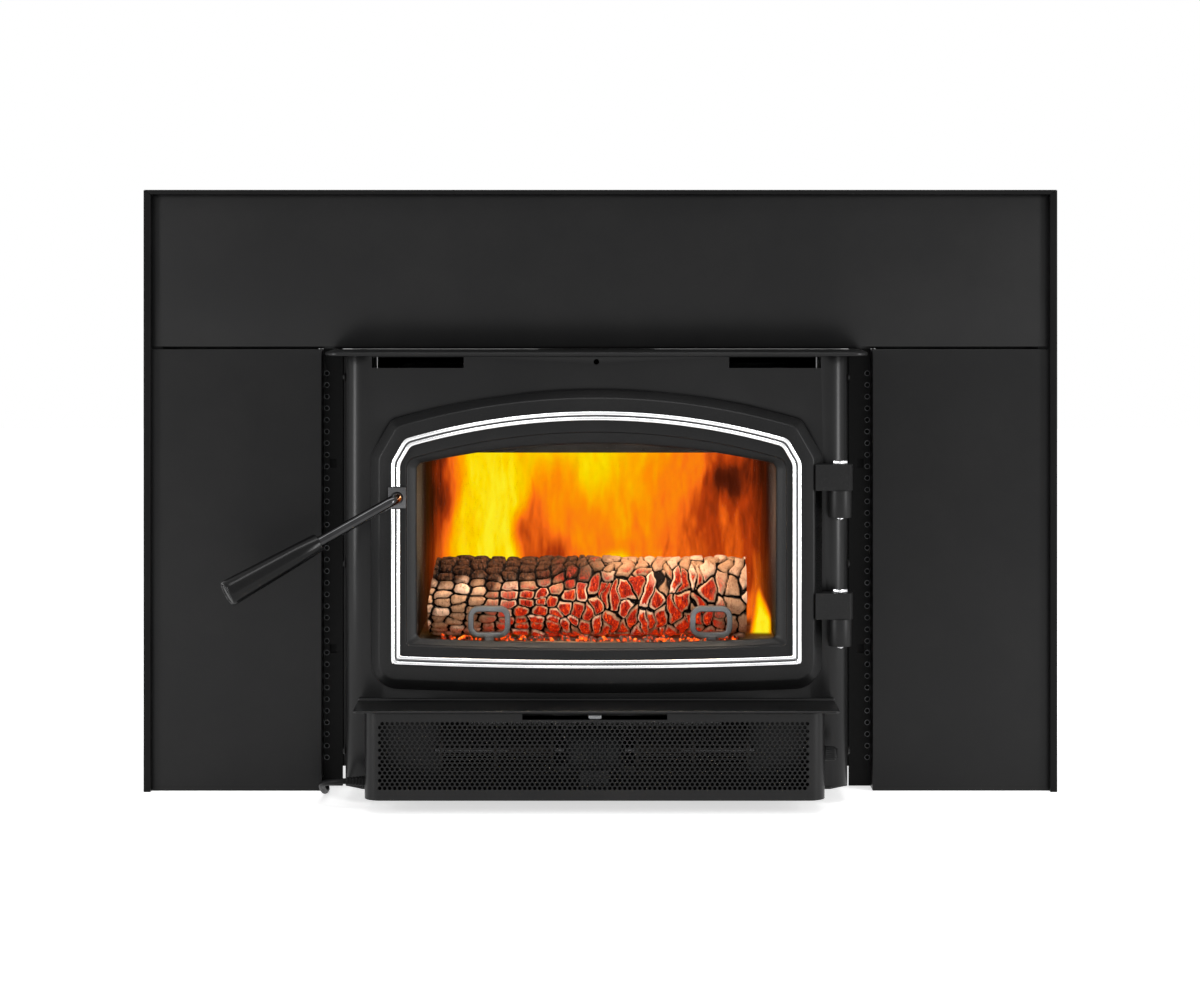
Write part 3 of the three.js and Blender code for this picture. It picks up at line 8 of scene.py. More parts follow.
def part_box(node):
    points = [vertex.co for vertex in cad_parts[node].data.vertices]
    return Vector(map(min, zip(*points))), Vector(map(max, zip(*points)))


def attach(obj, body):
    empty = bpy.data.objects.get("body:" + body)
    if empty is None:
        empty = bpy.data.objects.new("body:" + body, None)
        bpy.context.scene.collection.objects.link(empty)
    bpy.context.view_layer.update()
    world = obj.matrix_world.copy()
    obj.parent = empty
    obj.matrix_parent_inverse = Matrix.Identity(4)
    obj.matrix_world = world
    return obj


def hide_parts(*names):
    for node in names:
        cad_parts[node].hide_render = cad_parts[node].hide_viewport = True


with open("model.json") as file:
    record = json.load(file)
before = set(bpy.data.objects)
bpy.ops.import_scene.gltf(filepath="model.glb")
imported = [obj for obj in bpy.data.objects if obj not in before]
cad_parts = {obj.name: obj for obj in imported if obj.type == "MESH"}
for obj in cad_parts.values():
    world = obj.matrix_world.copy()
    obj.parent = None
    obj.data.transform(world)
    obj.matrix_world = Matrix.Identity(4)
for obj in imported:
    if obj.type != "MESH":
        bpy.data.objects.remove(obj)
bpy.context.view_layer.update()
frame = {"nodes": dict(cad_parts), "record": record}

nodes = frame["nodes"]
scene = bpy.context.scene
backShift = -88.682  # the part's source starts its y at the surround's face, in millimetres
print("frame loaded")


def mm(x, y, z):
    return Vector((x, y + backShift, z)) / 1000


# the camera stands where the photograph was taken
view = {"distance": 3.5, "height": 0.663, "lens": 85.64, "shiftX": -0.00033, "shiftY": -0.21}
cameraData = bpy.data.cameras.new("camera")
cameraData.sensor_width = 36
cameraData.lens = view["lens"]
cameraData.shift_x = view["shiftX"]
cameraData.shift_y = view["shiftY"]
cameraData.clip_end = 40
camera = bpy.data.objects.new("camera", cameraData)
camera.location = mm(0, -1000 * view["distance"], 1000 * view["height"])
camera.rotation_euler = (math.radians(90), 0, 0)
scene.collection.objects.link(camera)
scene.camera = camera


# small tools for modelling, all sizes in millimetres
def deselectAll():
    if bpy.context.object and bpy.context.object.mode != "OBJECT":
        bpy.ops.object.mode_set(mode="OBJECT")
    bpy.ops.object.select_all(action="DESELECT")


def activate(piece):
    deselectAll()
    piece.select_set(True)
    bpy.context.view_layer.objects.active = piece


def named(name):
    piece = bpy.context.object
    piece.name = name
    piece.data.name = name
    return piece


def settle(piece):  # the place goes into the mesh
    activate(piece)
    bpy.ops.object.transform_apply(location=True, rotation=True, scale=True)


def applyAll(piece):
    activate(piece)
    for modifier in list(piece.modifiers):
        bpy.ops.object.modifier_apply(modifier=modifier.name)


def smoothed(piece, degrees=35):
    activate(piece)
    bpy.ops.object.shade_smooth_by_angle(angle=math.radians(degrees), keep_sharp_edges=False)


def rounded(piece, width, segments=2, degrees=28):
    bevel = piece.modifiers.new("edges", "BEVEL")
    bevel.width = width / 1000
    bevel.segments = segments
    bevel.limit_method = "ANGLE"
    bevel.angle_limit = math.radians(degrees)
    bevel.use_clamp_overlap = True
    applyAll(piece)
    return piece


def recalculated(piece):
    activate(piece)
    bpy.ops.object.mode_set(mode="EDIT")
    bpy.ops.mesh.select_all(action="SELECT")
    bpy.ops.mesh.remove_doubles(threshold=0.00001)
    bpy.ops.mesh.normals_make_consistent(inside=False)
    bpy.ops.object.mode_set(mode="OBJECT")
    return piece


def addBlock(name, low, high):
    deselectAll()
    start, end = mm(*low), mm(*high)
    bpy.ops.mesh.primitive_cube_add(size=1, location=(start + end) / 2)
    piece = named(name)
    piece.scale = [abs(a) for a in end - start]
    settle(piece)
    return piece


def addRod(name, start, end, radius, endRadius=None, sides=32):
    deselectAll()
    first, last = mm(*start), mm(*end)
    along = last - first
    tip = radius if endRadius is None else endRadius
    bpy.ops.mesh.primitive_cone_add(
        vertices=sides, radius1=radius / 1000, radius2=tip / 1000, depth=along.length,
        location=(first + last) / 2, rotation=along.to_track_quat("Z", "Y").to_euler(),
    )
    piece = named(name)
    settle(piece)
    return piece


def lineMesh(name, points, loop):
    links = [(i, i + 1) for i in range(len(points) - 1)]
    if loop:
        links.append((len(points) - 1, 0))
    mesh = bpy.data.meshes.new(name)
    mesh.from_pydata(points, links, [])
    piece = bpy.data.objects.new(name, mesh)
    scene.collection.objects.link(piece)
    activate(piece)
    return piece


def turned(name, profile, origin, axis, sides=48, loop=False):
    # a lathe piece: pairs of (distance along the axis, radius), spun once round
    piece = lineMesh(name, [(radius / 1000, 0, along / 1000) for along, radius in profile], loop)
    bpy.ops.object.mode_set(mode="EDIT")
    bpy.ops.mesh.select_all(action="SELECT")
    bpy.ops.mesh.spin(steps=sides, angle=math.tau, center=(0, 0, 0), axis=(0, 0, 1))
    bpy.ops.object.mode_set(mode="OBJECT")
    recalculated(piece)
    piece.rotation_euler = Vector(axis).to_track_quat("Z", "Y").to_euler()
    piece.location = mm(*origin)
    settle(piece)
    return piece


def joined(name, pieces):
    activate(pieces[0])
    for piece in pieces[1:]:
        piece.select_set(True)
    if len(pieces) > 1:
        bpy.ops.object.join()
    return named(name)


def combined(piece, tool, operation):
    step = piece.modifiers.new("combine", "BOOLEAN")
    step.operation = operation
    step.solver = "EXACT"
    step.object = tool
    applyAll(piece)
    bpy.data.objects.remove(tool)
    return piece


def carved(piece, *tools):
    return combined(piece, joined("tool", list(tools)), "DIFFERENCE")


def fused(piece, *others):
    for other in others:
        combined(piece, other, "UNION")
    return piece


def copied(piece, name, offset=(0, 0, 0), turn=(0, 0, 0)):
    twin = piece.copy()
    twin.data = piece.data.copy()
    twin.name = twin.data.name = name
    scene.collection.objects.link(twin)
    twin.location = Vector(offset) / 1000
    twin.rotation_euler = turn
    settle(twin)
    return twin


def finishPiece(piece, material, body, replaced=(), degrees=35):
    settle(piece)
    smoothed(piece, degrees)
    piece.data.materials.clear()
    piece.data.materials.append(material)
    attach(piece, body)
    if replaced:
        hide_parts(*replaced)
    return piece


def softenedNode(name, width, material, body, segments=2, degrees=28):
    # a copy of a sheet or casting, its edges broken as on the real piece
    piece = nodes[name].copy()
    piece.data = nodes[name].data.copy()
    piece.name = name + "_finished"
    piece.parent = None
    for key in list(piece.keys()):
        del piece[key]
    scene.collection.objects.link(piece)
    activate(piece)
    bpy.ops.object.mode_set(mode="EDIT")
    bpy.ops.mesh.select_all(action="SELECT")
    bpy.ops.mesh.remove_doubles(threshold=0.00001)
    bpy.ops.mesh.dissolve_limited(angle_limit=math.radians(0.6))
    bpy.ops.object.mode_set(mode="OBJECT")
    rounded(piece, width, segments, degrees)
    return finishPiece(piece, material, body, (name,))


# the power cord comes first: a straight way out of the relief, down to the floor, then a stored coil
cordSettings = {
    "diameter": 0.007,
    "exit": (-302.9, -112, 32.7),
    "length": 1.846,
    "centreX": -440,
    "innerRadius": 28.6,
    "pitch": 7.6,
    "turnsIn": 3,
    "turns": 6.25,
    "stepsPerTurn": 24,
}
cordRoute = [
    (-302.9, -112, 32.7), (-310, -111.6, 32.2), (-318, -108.6, 31), (-325.3, -102.7, 29),
    (-330.6, -94.8, 26.4), (-333.4, -86, 23.2), (-334.2, -74, 18.6), (-334.4, -62, 14),
    (-334.5, -50, 10), (-334.5, -38, 6.8), (-334.5, -26, 4.7), (-334.6, -14, 3.8),
    (-335, -3, 3.6), (-337.4, 8, 3.6), (-343, 17.4, 3.6), (-351.4, 23.6, 3.6),
    (-362, 26, 3.6), (-380, 26, 3.6), (-400, 26, 3.6), (-420, 26, 3.6), (-433, 26, 3.6),
]


def coilPoints(settings, start):
    inner, pitch = settings["innerRadius"], settings["pitch"]
    turnsIn, perTurn = settings["turnsIn"], settings["stepsPerTurn"]
    centreY = start[1] + inner + pitch * turnsIn
    points = []
    for i in range(int(settings["turns"] * perTurn) + 1):
        turn = i / perTurn
        radius = inner + pitch * abs(turn - turnsIn)
        angle = -math.pi / 2 - 2 * math.pi * turn
        share = min(max((turn - turnsIn + 0.25) / 0.5, 0), 1)
        climb = share * share * (3 - 2 * share)
        x = settings["centreX"] + radius * math.cos(angle)
        y = centreY + radius * math.sin(angle)
        points.append((x, y, start[2] + pitch * climb))
    last = -math.pi / 2 - 2 * math.pi * settings["turns"]
    ahead = (math.sin(last) * 7, -math.cos(last) * 7)
    points.append((points[-1][0] + ahead[0], points[-1][1] + ahead[1], points[-1][2]))
    return points


cordLine = cordRoute[:-1] + coilPoints(cordSettings, cordRoute[-1])
cordCurve = bpy.data.curves.new("power_cord", "CURVE")
cordCurve.dimensions = "3D"
spline = cordCurve.splines.new("BEZIER")
spline.bezier_points.add(len(cordLine) - 1)
for knot, place in zip(spline.bezier_points, cordLine):
    knot.co = mm(*place)
    knot.handle_left_type = knot.handle_right_type = "AUTO"
cordCurve.bevel_depth = cordSettings["diameter"] / 2
cordCurve.bevel_resolution = 3
cordCurve.resolution_u = 3
cordCurve.use_fill_caps = True
powerCord = bpy.data.objects.new("power_cord", cordCurve)
scene.collection.objects.link(powerCord)
print("cord laid")


# shader groups that more than one finish uses
def newGroup(name, inputs, outputs):
    group = bpy.data.node_groups.new(name, "ShaderNodeTree")
    for label, kind, value in inputs:
        socket = group.interface.new_socket(label, in_out="INPUT", socket_type=kind)
        if value is not None:
            socket.default_value = value
    for label, kind in outputs:
        group.interface.new_socket(label, in_out="OUTPUT", socket_type=kind)
    start = group.nodes.new("NodeGroupInput")
    end = group.nodes.new("NodeGroupOutput")
    return group, start, end


def wire(tree, source, target):
    tree.links.new(source, target)


def feed(tree, value, socket):  # a plain number goes on the socket, anything else is linked
    if isinstance(value, (int, float)):
        socket.default_value = value
    else:
        wire(tree, value, socket)


def mathNode(tree, operation, first, second, clamp=False):
    node = tree.nodes.new("ShaderNodeMath")
    node.operation = operation
    node.use_clamp = clamp
    feed(tree, first, node.inputs[0])
    feed(tree, second, node.inputs[1])
    return node.outputs[0]


def noiseNode(tree, vector, scale, detail=3, roughness=0.55, distortion=0):
    node = tree.nodes.new("ShaderNodeTexNoise")
    wire(tree, vector, node.inputs["Vector"])
    feed(tree, scale, node.inputs["Scale"])
    node.inputs["Detail"].default_value = detail
    node.inputs["Roughness"].default_value = roughness
    node.inputs["Distortion"].default_value = distortion
    return node.outputs["Fac"]


def stretched(tree, vector, scale, place=(0, 0, 0)):
    node = tree.nodes.new("ShaderNodeMapping")
    node.inputs["Scale"].default_value = scale
    node.inputs["Location"].default_value = place
    wire(tree, vector, node.inputs["Vector"])
    return node.outputs["Vector"]


def rampNode(tree, value, stops):
    node = tree.nodes.new("ShaderNodeValToRGB")
    elements = node.color_ramp.elements
    elements[0].position, elements[1].position = stops[0][0], stops[-1][0]
    for position, _ in stops[1:-1]:
        elements.new(position)
    for element, (_, colour) in zip(elements, stops):
        element.color = (*colour, 1)
    wire(tree, value, node.inputs["Fac"])
    return node.outputs["Color"]


def mixColour(tree, factor, first, second):
    node = tree.nodes.new("ShaderNodeMix")
    node.data_type = "RGBA"
    feed(tree, factor, node.inputs["Factor"])
    for label, value in (("A", first), ("B", second)):
        socket = [s for s in node.inputs if s.name == label and s.type == "RGBA"][0]
        if isinstance(value, tuple):
            socket.default_value = (*value, 1)
        else:
            wire(tree, value, socket)
    return [s for s in node.outputs if s.type == "RGBA"][0]


def spreadNode(tree, value, fromLow, fromHigh, toLow, toHigh):
    node = tree.nodes.new("ShaderNodeMapRange")
    wire(tree, value, node.inputs["Value"])
    for label, number in (("From Min", fromLow), ("From Max", fromHigh), ("To Min", toLow),
            ("To Max", toHigh)):
        feed(tree, number, node.inputs[label])
    return node.outputs["Result"]


def attributeNode(tree, name):
    node = tree.nodes.new("ShaderNodeAttribute")
    node.attribute_name = name
    return node


# grain of sprayed paint, cast iron and brick: fine height and broad cloud
grainGroup, grainIn, grainOut = newGroup(
    "surface_grain",
    [("Vector", "NodeSocketVector", None), ("Fine Scale", "NodeSocketFloat", 900.0),
     ("Broad Scale", "NodeSocketFloat", 9.0)],
    [("Height", "NodeSocketFloat"), ("Cloud", "NodeSocketFloat")],
)
fineGrain = noiseNode(grainGroup, grainIn.outputs["Vector"], grainIn.outputs["Fine Scale"], 2, 0.6)
broadCloud = noiseNode(grainGroup, grainIn.outputs["Vector"], grainIn.outputs["Broad Scale"], 4, 0.5)
wire(grainGroup, fineGrain, grainOut.inputs["Height"])
wire(grainGroup, spreadNode(grainGroup, broadCloud, 0.3, 0.7, 0, 1), grainOut.inputs["Cloud"])

# dust, soot and haze that settle unevenly: a mask from two noises
dustGroup, dustIn, dustOut = newGroup(
    "settled_dust",
    [("Vector", "NodeSocketVector", None), ("Scale", "NodeSocketFloat", 14.0),
     ("Amount", "NodeSocketFloat", 0.3)],
    [("Mask", "NodeSocketFloat")],
)
dustWide = noiseNode(dustGroup, dustIn.outputs["Vector"], dustIn.outputs["Scale"], 5, 0.65)
dustFine = noiseNode(dustGroup, dustIn.outputs["Vector"], 260, 3, 0.6)
dustBoth = mathNode(dustGroup, "MULTIPLY", spreadNode(dustGroup, dustWide, 0.42, 0.72, 0, 1), dustFine)
wire(dustGroup, mathNode(dustGroup, "MULTIPLY", dustBoth, dustIn.outputs["Amount"], True),
    dustOut.inputs["Mask"])


def newFinish(name, sockets):
    material = bpy.data.materials.new(name)
    material.use_nodes = True
    tree = material.node_tree
    shader = tree.nodes["Principled BSDF"]
    for label, value in sockets.items():
        shader.inputs[label].default_value = value
    where = tree.nodes.new("ShaderNodeTexCoord").outputs["Object"]
    return material, tree, shader, where


def placeGroup(tree, group, vector, values):
    node = tree.nodes.new("ShaderNodeGroup")
    node.node_tree = group
    wire(tree, vector, node.inputs["Vector"])
    for label, value in values.items():
        node.inputs[label].default_value = value
    return node


def bumped(tree, shader, height, distance, strength=0.6):
    bump = tree.nodes.new("ShaderNodeBump")
    bump.inputs["Strength"].default_value = strength
    bump.inputs["Distance"].default_value = distance
    wire(tree, height, bump.inputs["Height"])
    wire(tree, bump.outputs["Normal"], shader.inputs["Normal"])


def paintFinish(name, look):
    material, tree, shader, where = newFinish(name, {"Specular IOR Level": look["gloss"]})
    grain = placeGroup(tree, grainGroup, where, {"Fine Scale": look["fine"], "Broad Scale": 6.0})
    settled = placeGroup(tree, dustGroup, where, {"Scale": 9.0, "Amount": look["dust"]})
    paint = mixColour(tree, grain.outputs["Cloud"], look["dark"], look["light"])
    speckled = mixColour(tree, spreadNode(tree, grain.outputs["Height"], 0.55, 0.75, 0, look["speckle"]),
        paint, (0.06, 0.06, 0.061))
    wire(tree, mixColour(tree, settled.outputs["Mask"], speckled, (0.16, 0.15, 0.14)),
        shader.inputs["Base Color"])
    wire(tree, spreadNode(tree, grain.outputs["Height"], 0.2, 0.8, *look["rough"]),
        shader.inputs["Roughness"])
    bumped(tree, shader, grain.outputs["Height"], look["bump"])
    return material


satinPaint = paintFinish("satin_black_paint", {
    "dark": (0.0045, 0.0045, 0.0047), "light": (0.0065, 0.0065, 0.0067), "rough": (0.27, 0.34), "fine": 1500,
    "bump": 0.00002, "dust": 0.03, "speckle": 0.04, "gloss": 0.22})
panelPaint = paintFinish("panel_black_paint", {
    "dark": (0.005, 0.005, 0.0052), "light": (0.007, 0.007, 0.0072), "rough": (0.28, 0.36), "fine": 1700,
    "bump": 0.000015, "dust": 0.03, "speckle": 0.03, "gloss": 0.19})
# darker copy of the black paint, used on the trims, and as painted shade on the perforated angles and the
# corner plates behind the panels
trimAndShadePaint = paintFinish("trim_and_shade_black_paint", {
    "dark": (0.003, 0.003, 0.0031), "light": (0.005, 0.005, 0.0051), "rough": (0.34, 0.44), "fine": 1700,
    "bump": 0.000015, "dust": 0.02, "speckle": 0.03, "gloss": 0.09})
castPaint = paintFinish("cast_black_paint", {
    "dark": (0.004, 0.004, 0.0042), "light": (0.0065, 0.0065, 0.0067), "rough": (0.34, 0.46), "fine": 620,
    "bump": 0.00014, "dust": 0.04, "speckle": 0.14, "gloss": 0.19})
coverPaint = paintFinish("cover_black_paint", {
    "dark": (0.004, 0.004, 0.0042), "light": (0.006, 0.006, 0.0062), "rough": (0.27, 0.34), "fine": 1500,
    "bump": 0.00002, "dust": 0.03, "speckle": 0.05, "gloss": 0.2})


def metalFinish(name, look):
    material, tree, shader, where = newFinish(name, {"Metallic": 1.0})
    grain = placeGroup(tree, grainGroup, where, {"Fine Scale": look["fine"], "Broad Scale": 22.0})
    darker = tuple(c * (1 - look["stain"]) for c in look["colour"])
    wire(tree, mixColour(tree, grain.outputs["Cloud"], look["colour"], darker), shader.inputs["Base Color"])
    wire(tree, spreadNode(tree, grain.outputs["Height"], 0.2, 0.8, *look["rough"]),
        shader.inputs["Roughness"])
    bumped(tree, shader, grain.outputs["Height"], look["bump"], 0.4)
    return material


nickelPlate = metalFinish("nickel_plate", {
    "colour": (0.93, 0.93, 0.935), "rough": (0.1, 0.17), "fine": 500, "bump": 0.00001, "stain": 0.05})
brightSteel = metalFinish("bright_steel", {
    "colour": (0.5, 0.5, 0.51), "rough": (0.2, 0.32), "fine": 700, "bump": 0.00001, "stain": 0.12})
darkSteel = metalFinish("oiled_dark_steel", {
    "colour": (0.1, 0.1, 0.103), "rough": (0.22, 0.36), "fine": 700, "bump": 0.00001, "stain": 0.25})
scaledPlate = metalFinish("scaled_plate", {
    "colour": (0.055, 0.05, 0.046), "rough": (0.5, 0.7), "fine": 420, "bump": 0.00008, "stain": 0.45})
greySteel = metalFinish("grey_hot_steel", {
    "colour": (0.2, 0.205, 0.21), "rough": (0.45, 0.6), "fine": 420, "bump": 0.00006, "stain": 0.3})
zincPlate = metalFinish("zinc_plate", {
    "colour": (0.55, 0.55, 0.54), "rough": (0.3, 0.44), "fine": 300, "bump": 0.00002, "stain": 0.2})
brassBlade = metalFinish("brass_blade", {
    "colour": (0.62, 0.47, 0.2), "rough": (0.24, 0.36), "fine": 500, "bump": 0.00001, "stain": 0.2})

# the bead's plating: bright on the two crests, with painted shade down in the groove and along both feet
beadNickel, beadTree, beadShader, beadWhere = newFinish("bead_nickel", {"Metallic": 1.0})
beadGrain = placeGroup(beadTree, grainGroup, beadWhere, {"Fine Scale": 500.0, "Broad Scale": 9.0})
beadAxes = beadTree.nodes.new("ShaderNodeSeparateXYZ")
wire(beadTree, beadWhere, beadAxes.inputs[0])
# painted shade: the plating goes dark towards the back of its section, in the groove and on both feet
beadGrooveShade = spreadNode(beadTree, beadAxes.outputs["Y"], mm(0, -108.8, 0).y, mm(0, -107.4, 0).y, 0, 1)
beadBright = mixColour(beadTree, beadGrain.outputs["Cloud"], (0.9, 0.9, 0.905), (0.66, 0.66, 0.67))
wire(beadTree, mixColour(beadTree, beadGrooveShade, beadBright, (0.2, 0.2, 0.203)), beadShader.inputs["Base Color"])
wire(beadTree, spreadNode(beadTree, beadGrain.outputs["Height"], 0.2, 0.8, 0.12, 0.2),
    beadShader.inputs["Roughness"])
bumped(beadTree, beadShader, beadGrain.outputs["Height"], 0.00001, 0.4)

# polished rod with a bronze tint where it enters the door
rodLook = {"tintPlace": (-236, -118, 367), "tintReach": 0.011, "tint": (0.3, 0.14, 0.07)}
rodSteel, rodTree, rodShader, rodWhere = newFinish("bronze_tinted_rod", {"Metallic": 1.0})
rodGrain = placeGroup(rodTree, grainGroup, rodWhere, {"Fine Scale": 900.0, "Broad Scale": 40.0})
tintCentre = stretched(rodTree, rodWhere, (1, 1, 1), -mm(*rodLook["tintPlace"]))
tintLength = rodTree.nodes.new("ShaderNodeVectorMath")
tintLength.operation = "LENGTH"
wire(rodTree, tintCentre, tintLength.inputs[0])
tintMask = spreadNode(rodTree, tintLength.outputs["Value"], rodLook["tintReach"] * 0.5,
    rodLook["tintReach"], 1, 0)
rodTone = mixColour(rodTree, rodGrain.outputs["Cloud"], (0.05, 0.05, 0.051), (0.035, 0.035, 0.036))
wire(rodTree, mixColour(rodTree, tintMask, rodTone, rodLook["tint"]), rodShader.inputs["Base Color"])
wire(rodTree, spreadNode(rodTree, rodGrain.outputs["Height"], 0.2, 0.8, 0.09, 0.14),
    rodShader.inputs["Roughness"])
bumped(rodTree, rodShader, rodGrain.outputs["Height"], 0.00001, 0.4)

# ceramic glass: clear, with a faint smoky bloom
ceramicGlass, glassTree, glassShader, glassWhere = newFinish("ceramic_glass", {
    "Roughness": 0.0, "IOR": 1.04, "Transmission Weight": 1.0})
glassHaze = placeGroup(glassTree, dustGroup, glassWhere, {"Scale": 11.0, "Amount": 0.12})
wire(glassTree, mixColour(glassTree, glassHaze.outputs["Mask"], (0.98, 0.98, 0.975), (0.8, 0.74, 0.66)),
    glassShader.inputs["Base Color"])


def plainFinish(name, look):
    material, tree, shader, where = newFinish(name, {"Specular IOR Level": look["gloss"]})
    grain = placeGroup(tree, grainGroup, where, {"Fine Scale": look["fine"], "Broad Scale": 20.0})
    lighter = tuple(min(1, c * 1.5 + 0.002) for c in look["colour"])
    wire(tree, mixColour(tree, grain.outputs["Cloud"], look["colour"], lighter), shader.inputs["Base Color"])
    wire(tree, spreadNode(tree, grain.outputs["Height"], 0.2, 0.8, *look["rough"]),
        shader.inputs["Roughness"])
    bumped(tree, shader, grain.outputs["Height"], look["bump"])
    return material


gripLacquer = plainFinish("grip_lacquer", {
    "colour": (0.002, 0.002, 0.0021), "rough": (0.2, 0.27), "fine": 500, "bump": 0.00001, "gloss": 0.15})
knobPlastic = plainFinish("moulded_resin", {
    "colour": (0.003, 0.003, 0.0031), "rough": (0.3, 0.4), "fine": 1500, "bump": 0.00002, "gloss": 0.12})
cordJacket = plainFinish("cord_jacket", {
    "colour": (0.003, 0.003, 0.0031), "rough": (0.4, 0.52), "fine": 900, "bump": 0.00003, "gloss": 0.1})
motorEnamel = plainFinish("motor_enamel", {
    "colour": (0.015, 0.016, 0.017), "rough": (0.35, 0.45), "fine": 900, "bump": 0.00003, "gloss": 0.2})

# braided rope
sealRope, ropeTree, ropeShader, ropeWhere = newFinish("seal_rope", {"Roughness": 0.95})
braid = ropeTree.nodes.new("ShaderNodeTexVoronoi")
braid.inputs["Scale"].default_value = 620
wire(ropeTree, ropeWhere, braid.inputs["Vector"])
ropeTone = placeGroup(ropeTree, grainGroup, ropeWhere, {"Fine Scale": 800.0, "Broad Scale": 16.0})
ropeBase = mixColour(ropeTree, ropeTone.outputs["Cloud"], (0.09, 0.085, 0.075), (0.24, 0.22, 0.19))
wire(ropeTree, mixColour(ropeTree, braid.outputs["Distance"], ropeBase, (0.03, 0.028, 0.025)),
    ropeShader.inputs["Base Color"])
bumped(ropeTree, ropeShader, braid.outputs["Distance"], 0.0006)


# refractory brick and board: sandy, pitted, smoked
def refractoryFinish(name, look):
    material, tree, shader, where = newFinish(name, {"Roughness": 0.93})
    grain = placeGroup(tree, grainGroup, where, {"Fine Scale": look["fine"], "Broad Scale": 13.0})
    soot = placeGroup(tree, dustGroup, where, {"Scale": 7.0, "Amount": look["soot"]})
    tone = mixColour(tree, grain.outputs["Cloud"], look["light"], look["dark"])
    pitted = mixColour(tree, spreadNode(tree, grain.outputs["Height"], 0.3, 0.45, 0.6, 0), tone,
        (0.05, 0.035, 0.025))
    wire(tree, mixColour(tree, soot.outputs["Mask"], pitted, (0.02, 0.016, 0.014)),
        shader.inputs["Base Color"])
    bumped(tree, shader, grain.outputs["Height"], look["bump"])
    return material


fireBrick = refractoryFinish("fire_brick", {
    "light": (0.3, 0.21, 0.13), "dark": (0.19, 0.14, 0.09), "fine": 330, "soot": 2.0, "bump": 0.0007})
sootyBrick = refractoryFinish("sooty_brick", {
    "light": (0.05, 0.032, 0.02), "dark": (0.02, 0.013, 0.009), "fine": 330, "soot": 2.6, "bump": 0.0007})
boardFibre = refractoryFinish("baffle_fibre", {
    "light": (0.5, 0.47, 0.42), "dark": (0.34, 0.31, 0.27), "fine": 520, "soot": 1.4, "bump": 0.0003})
print("finishes mixed")

finishOfSlot = {
    "satin_black": satinPaint, "cast_black": castPaint, "nickel": nickelPlate, "bright_steel": brightSteel,
    "dull_steel": scaledPlate, "ceramic_glass": ceramicGlass, "seal_rope": sealRope, "firebrick": fireBrick,
    "charred_wood": fireBrick, "black_plastic": knobPlastic, "dark_grip": gripLacquer,
    "cord_jacket": cordJacket,
}
slotOfNode = {part["node"]: part["material_slot"] for part in frame["record"]["subparts"]}
for nodeName, cadNode in nodes.items():
    cadNode.data.materials.clear()
    cadNode.data.materials.append(finishOfSlot[slotOfNode[nodeName]])


# sheet metal whose CAD shape is right gets broken edges
sheetEdges = {
    "surround_top": (0.9, panelPaint), "surround_left": (1.6, panelPaint),
    "surround_right": (1.6, panelPaint),
    "trim_left": (0.5, trimAndShadePaint), "trim_right": (0.5, trimAndShadePaint), "trim_top": (0.5, trimAndShadePaint),
    "casing_front": (0.9, satinPaint), "casing_left": (0.7, satinPaint), "casing_right": (0.7, satinPaint),
    "casing_back": (0.6, satinPaint), "casing_top": (1.7, satinPaint), "base_plate": (0.6, satinPaint),
    "foot_left": (0.8, satinPaint), "foot_right": (0.8, satinPaint), "ash_lip": (1.35, satinPaint),
}
for nodeName, (edge, paint) in sheetEdges.items():
    segments = 4 if edge > 1 else 2
    softenedNode(nodeName, edge, paint, "insert", segments)

# painted shade: small dark plates behind the corners, where the side panels' gap would show daylight
gapShadeShape = {"outer": 556, "inner": 538, "front": 4, "back": 5.5, "low": 535, "high": 551}
for side in (-1, 1):
    edges = sorted((side * gapShadeShape["inner"], side * gapShadeShape["outer"]))
    gapShadePlate = addBlock("gap_shade_plate", (edges[0], gapShadeShape["front"], gapShadeShape["low"]),
        (edges[1], gapShadeShape["back"], gapShadeShape["high"]))
    finishPiece(gapShadePlate, trimAndShadePaint, "insert")
print("sheet metal finished")

# perforated angles behind the side panels
bracketShape = {
    "sheet": 2, "depth": 35, "reaches": {"left": 23.2, "right": 26.4}, "top": 541.3, "holeInset": 3.4,
    "holeRadius": 2.8,
    "pitch": 14.4, "first": 35.2, "notch": (8.7, 11), "notchInset": 7.1, "notchHeights": (170, 399),
    "edges": {"left": (-1, -341.9), "right": (1, 333.6)}, "cordNotch": 14,
}


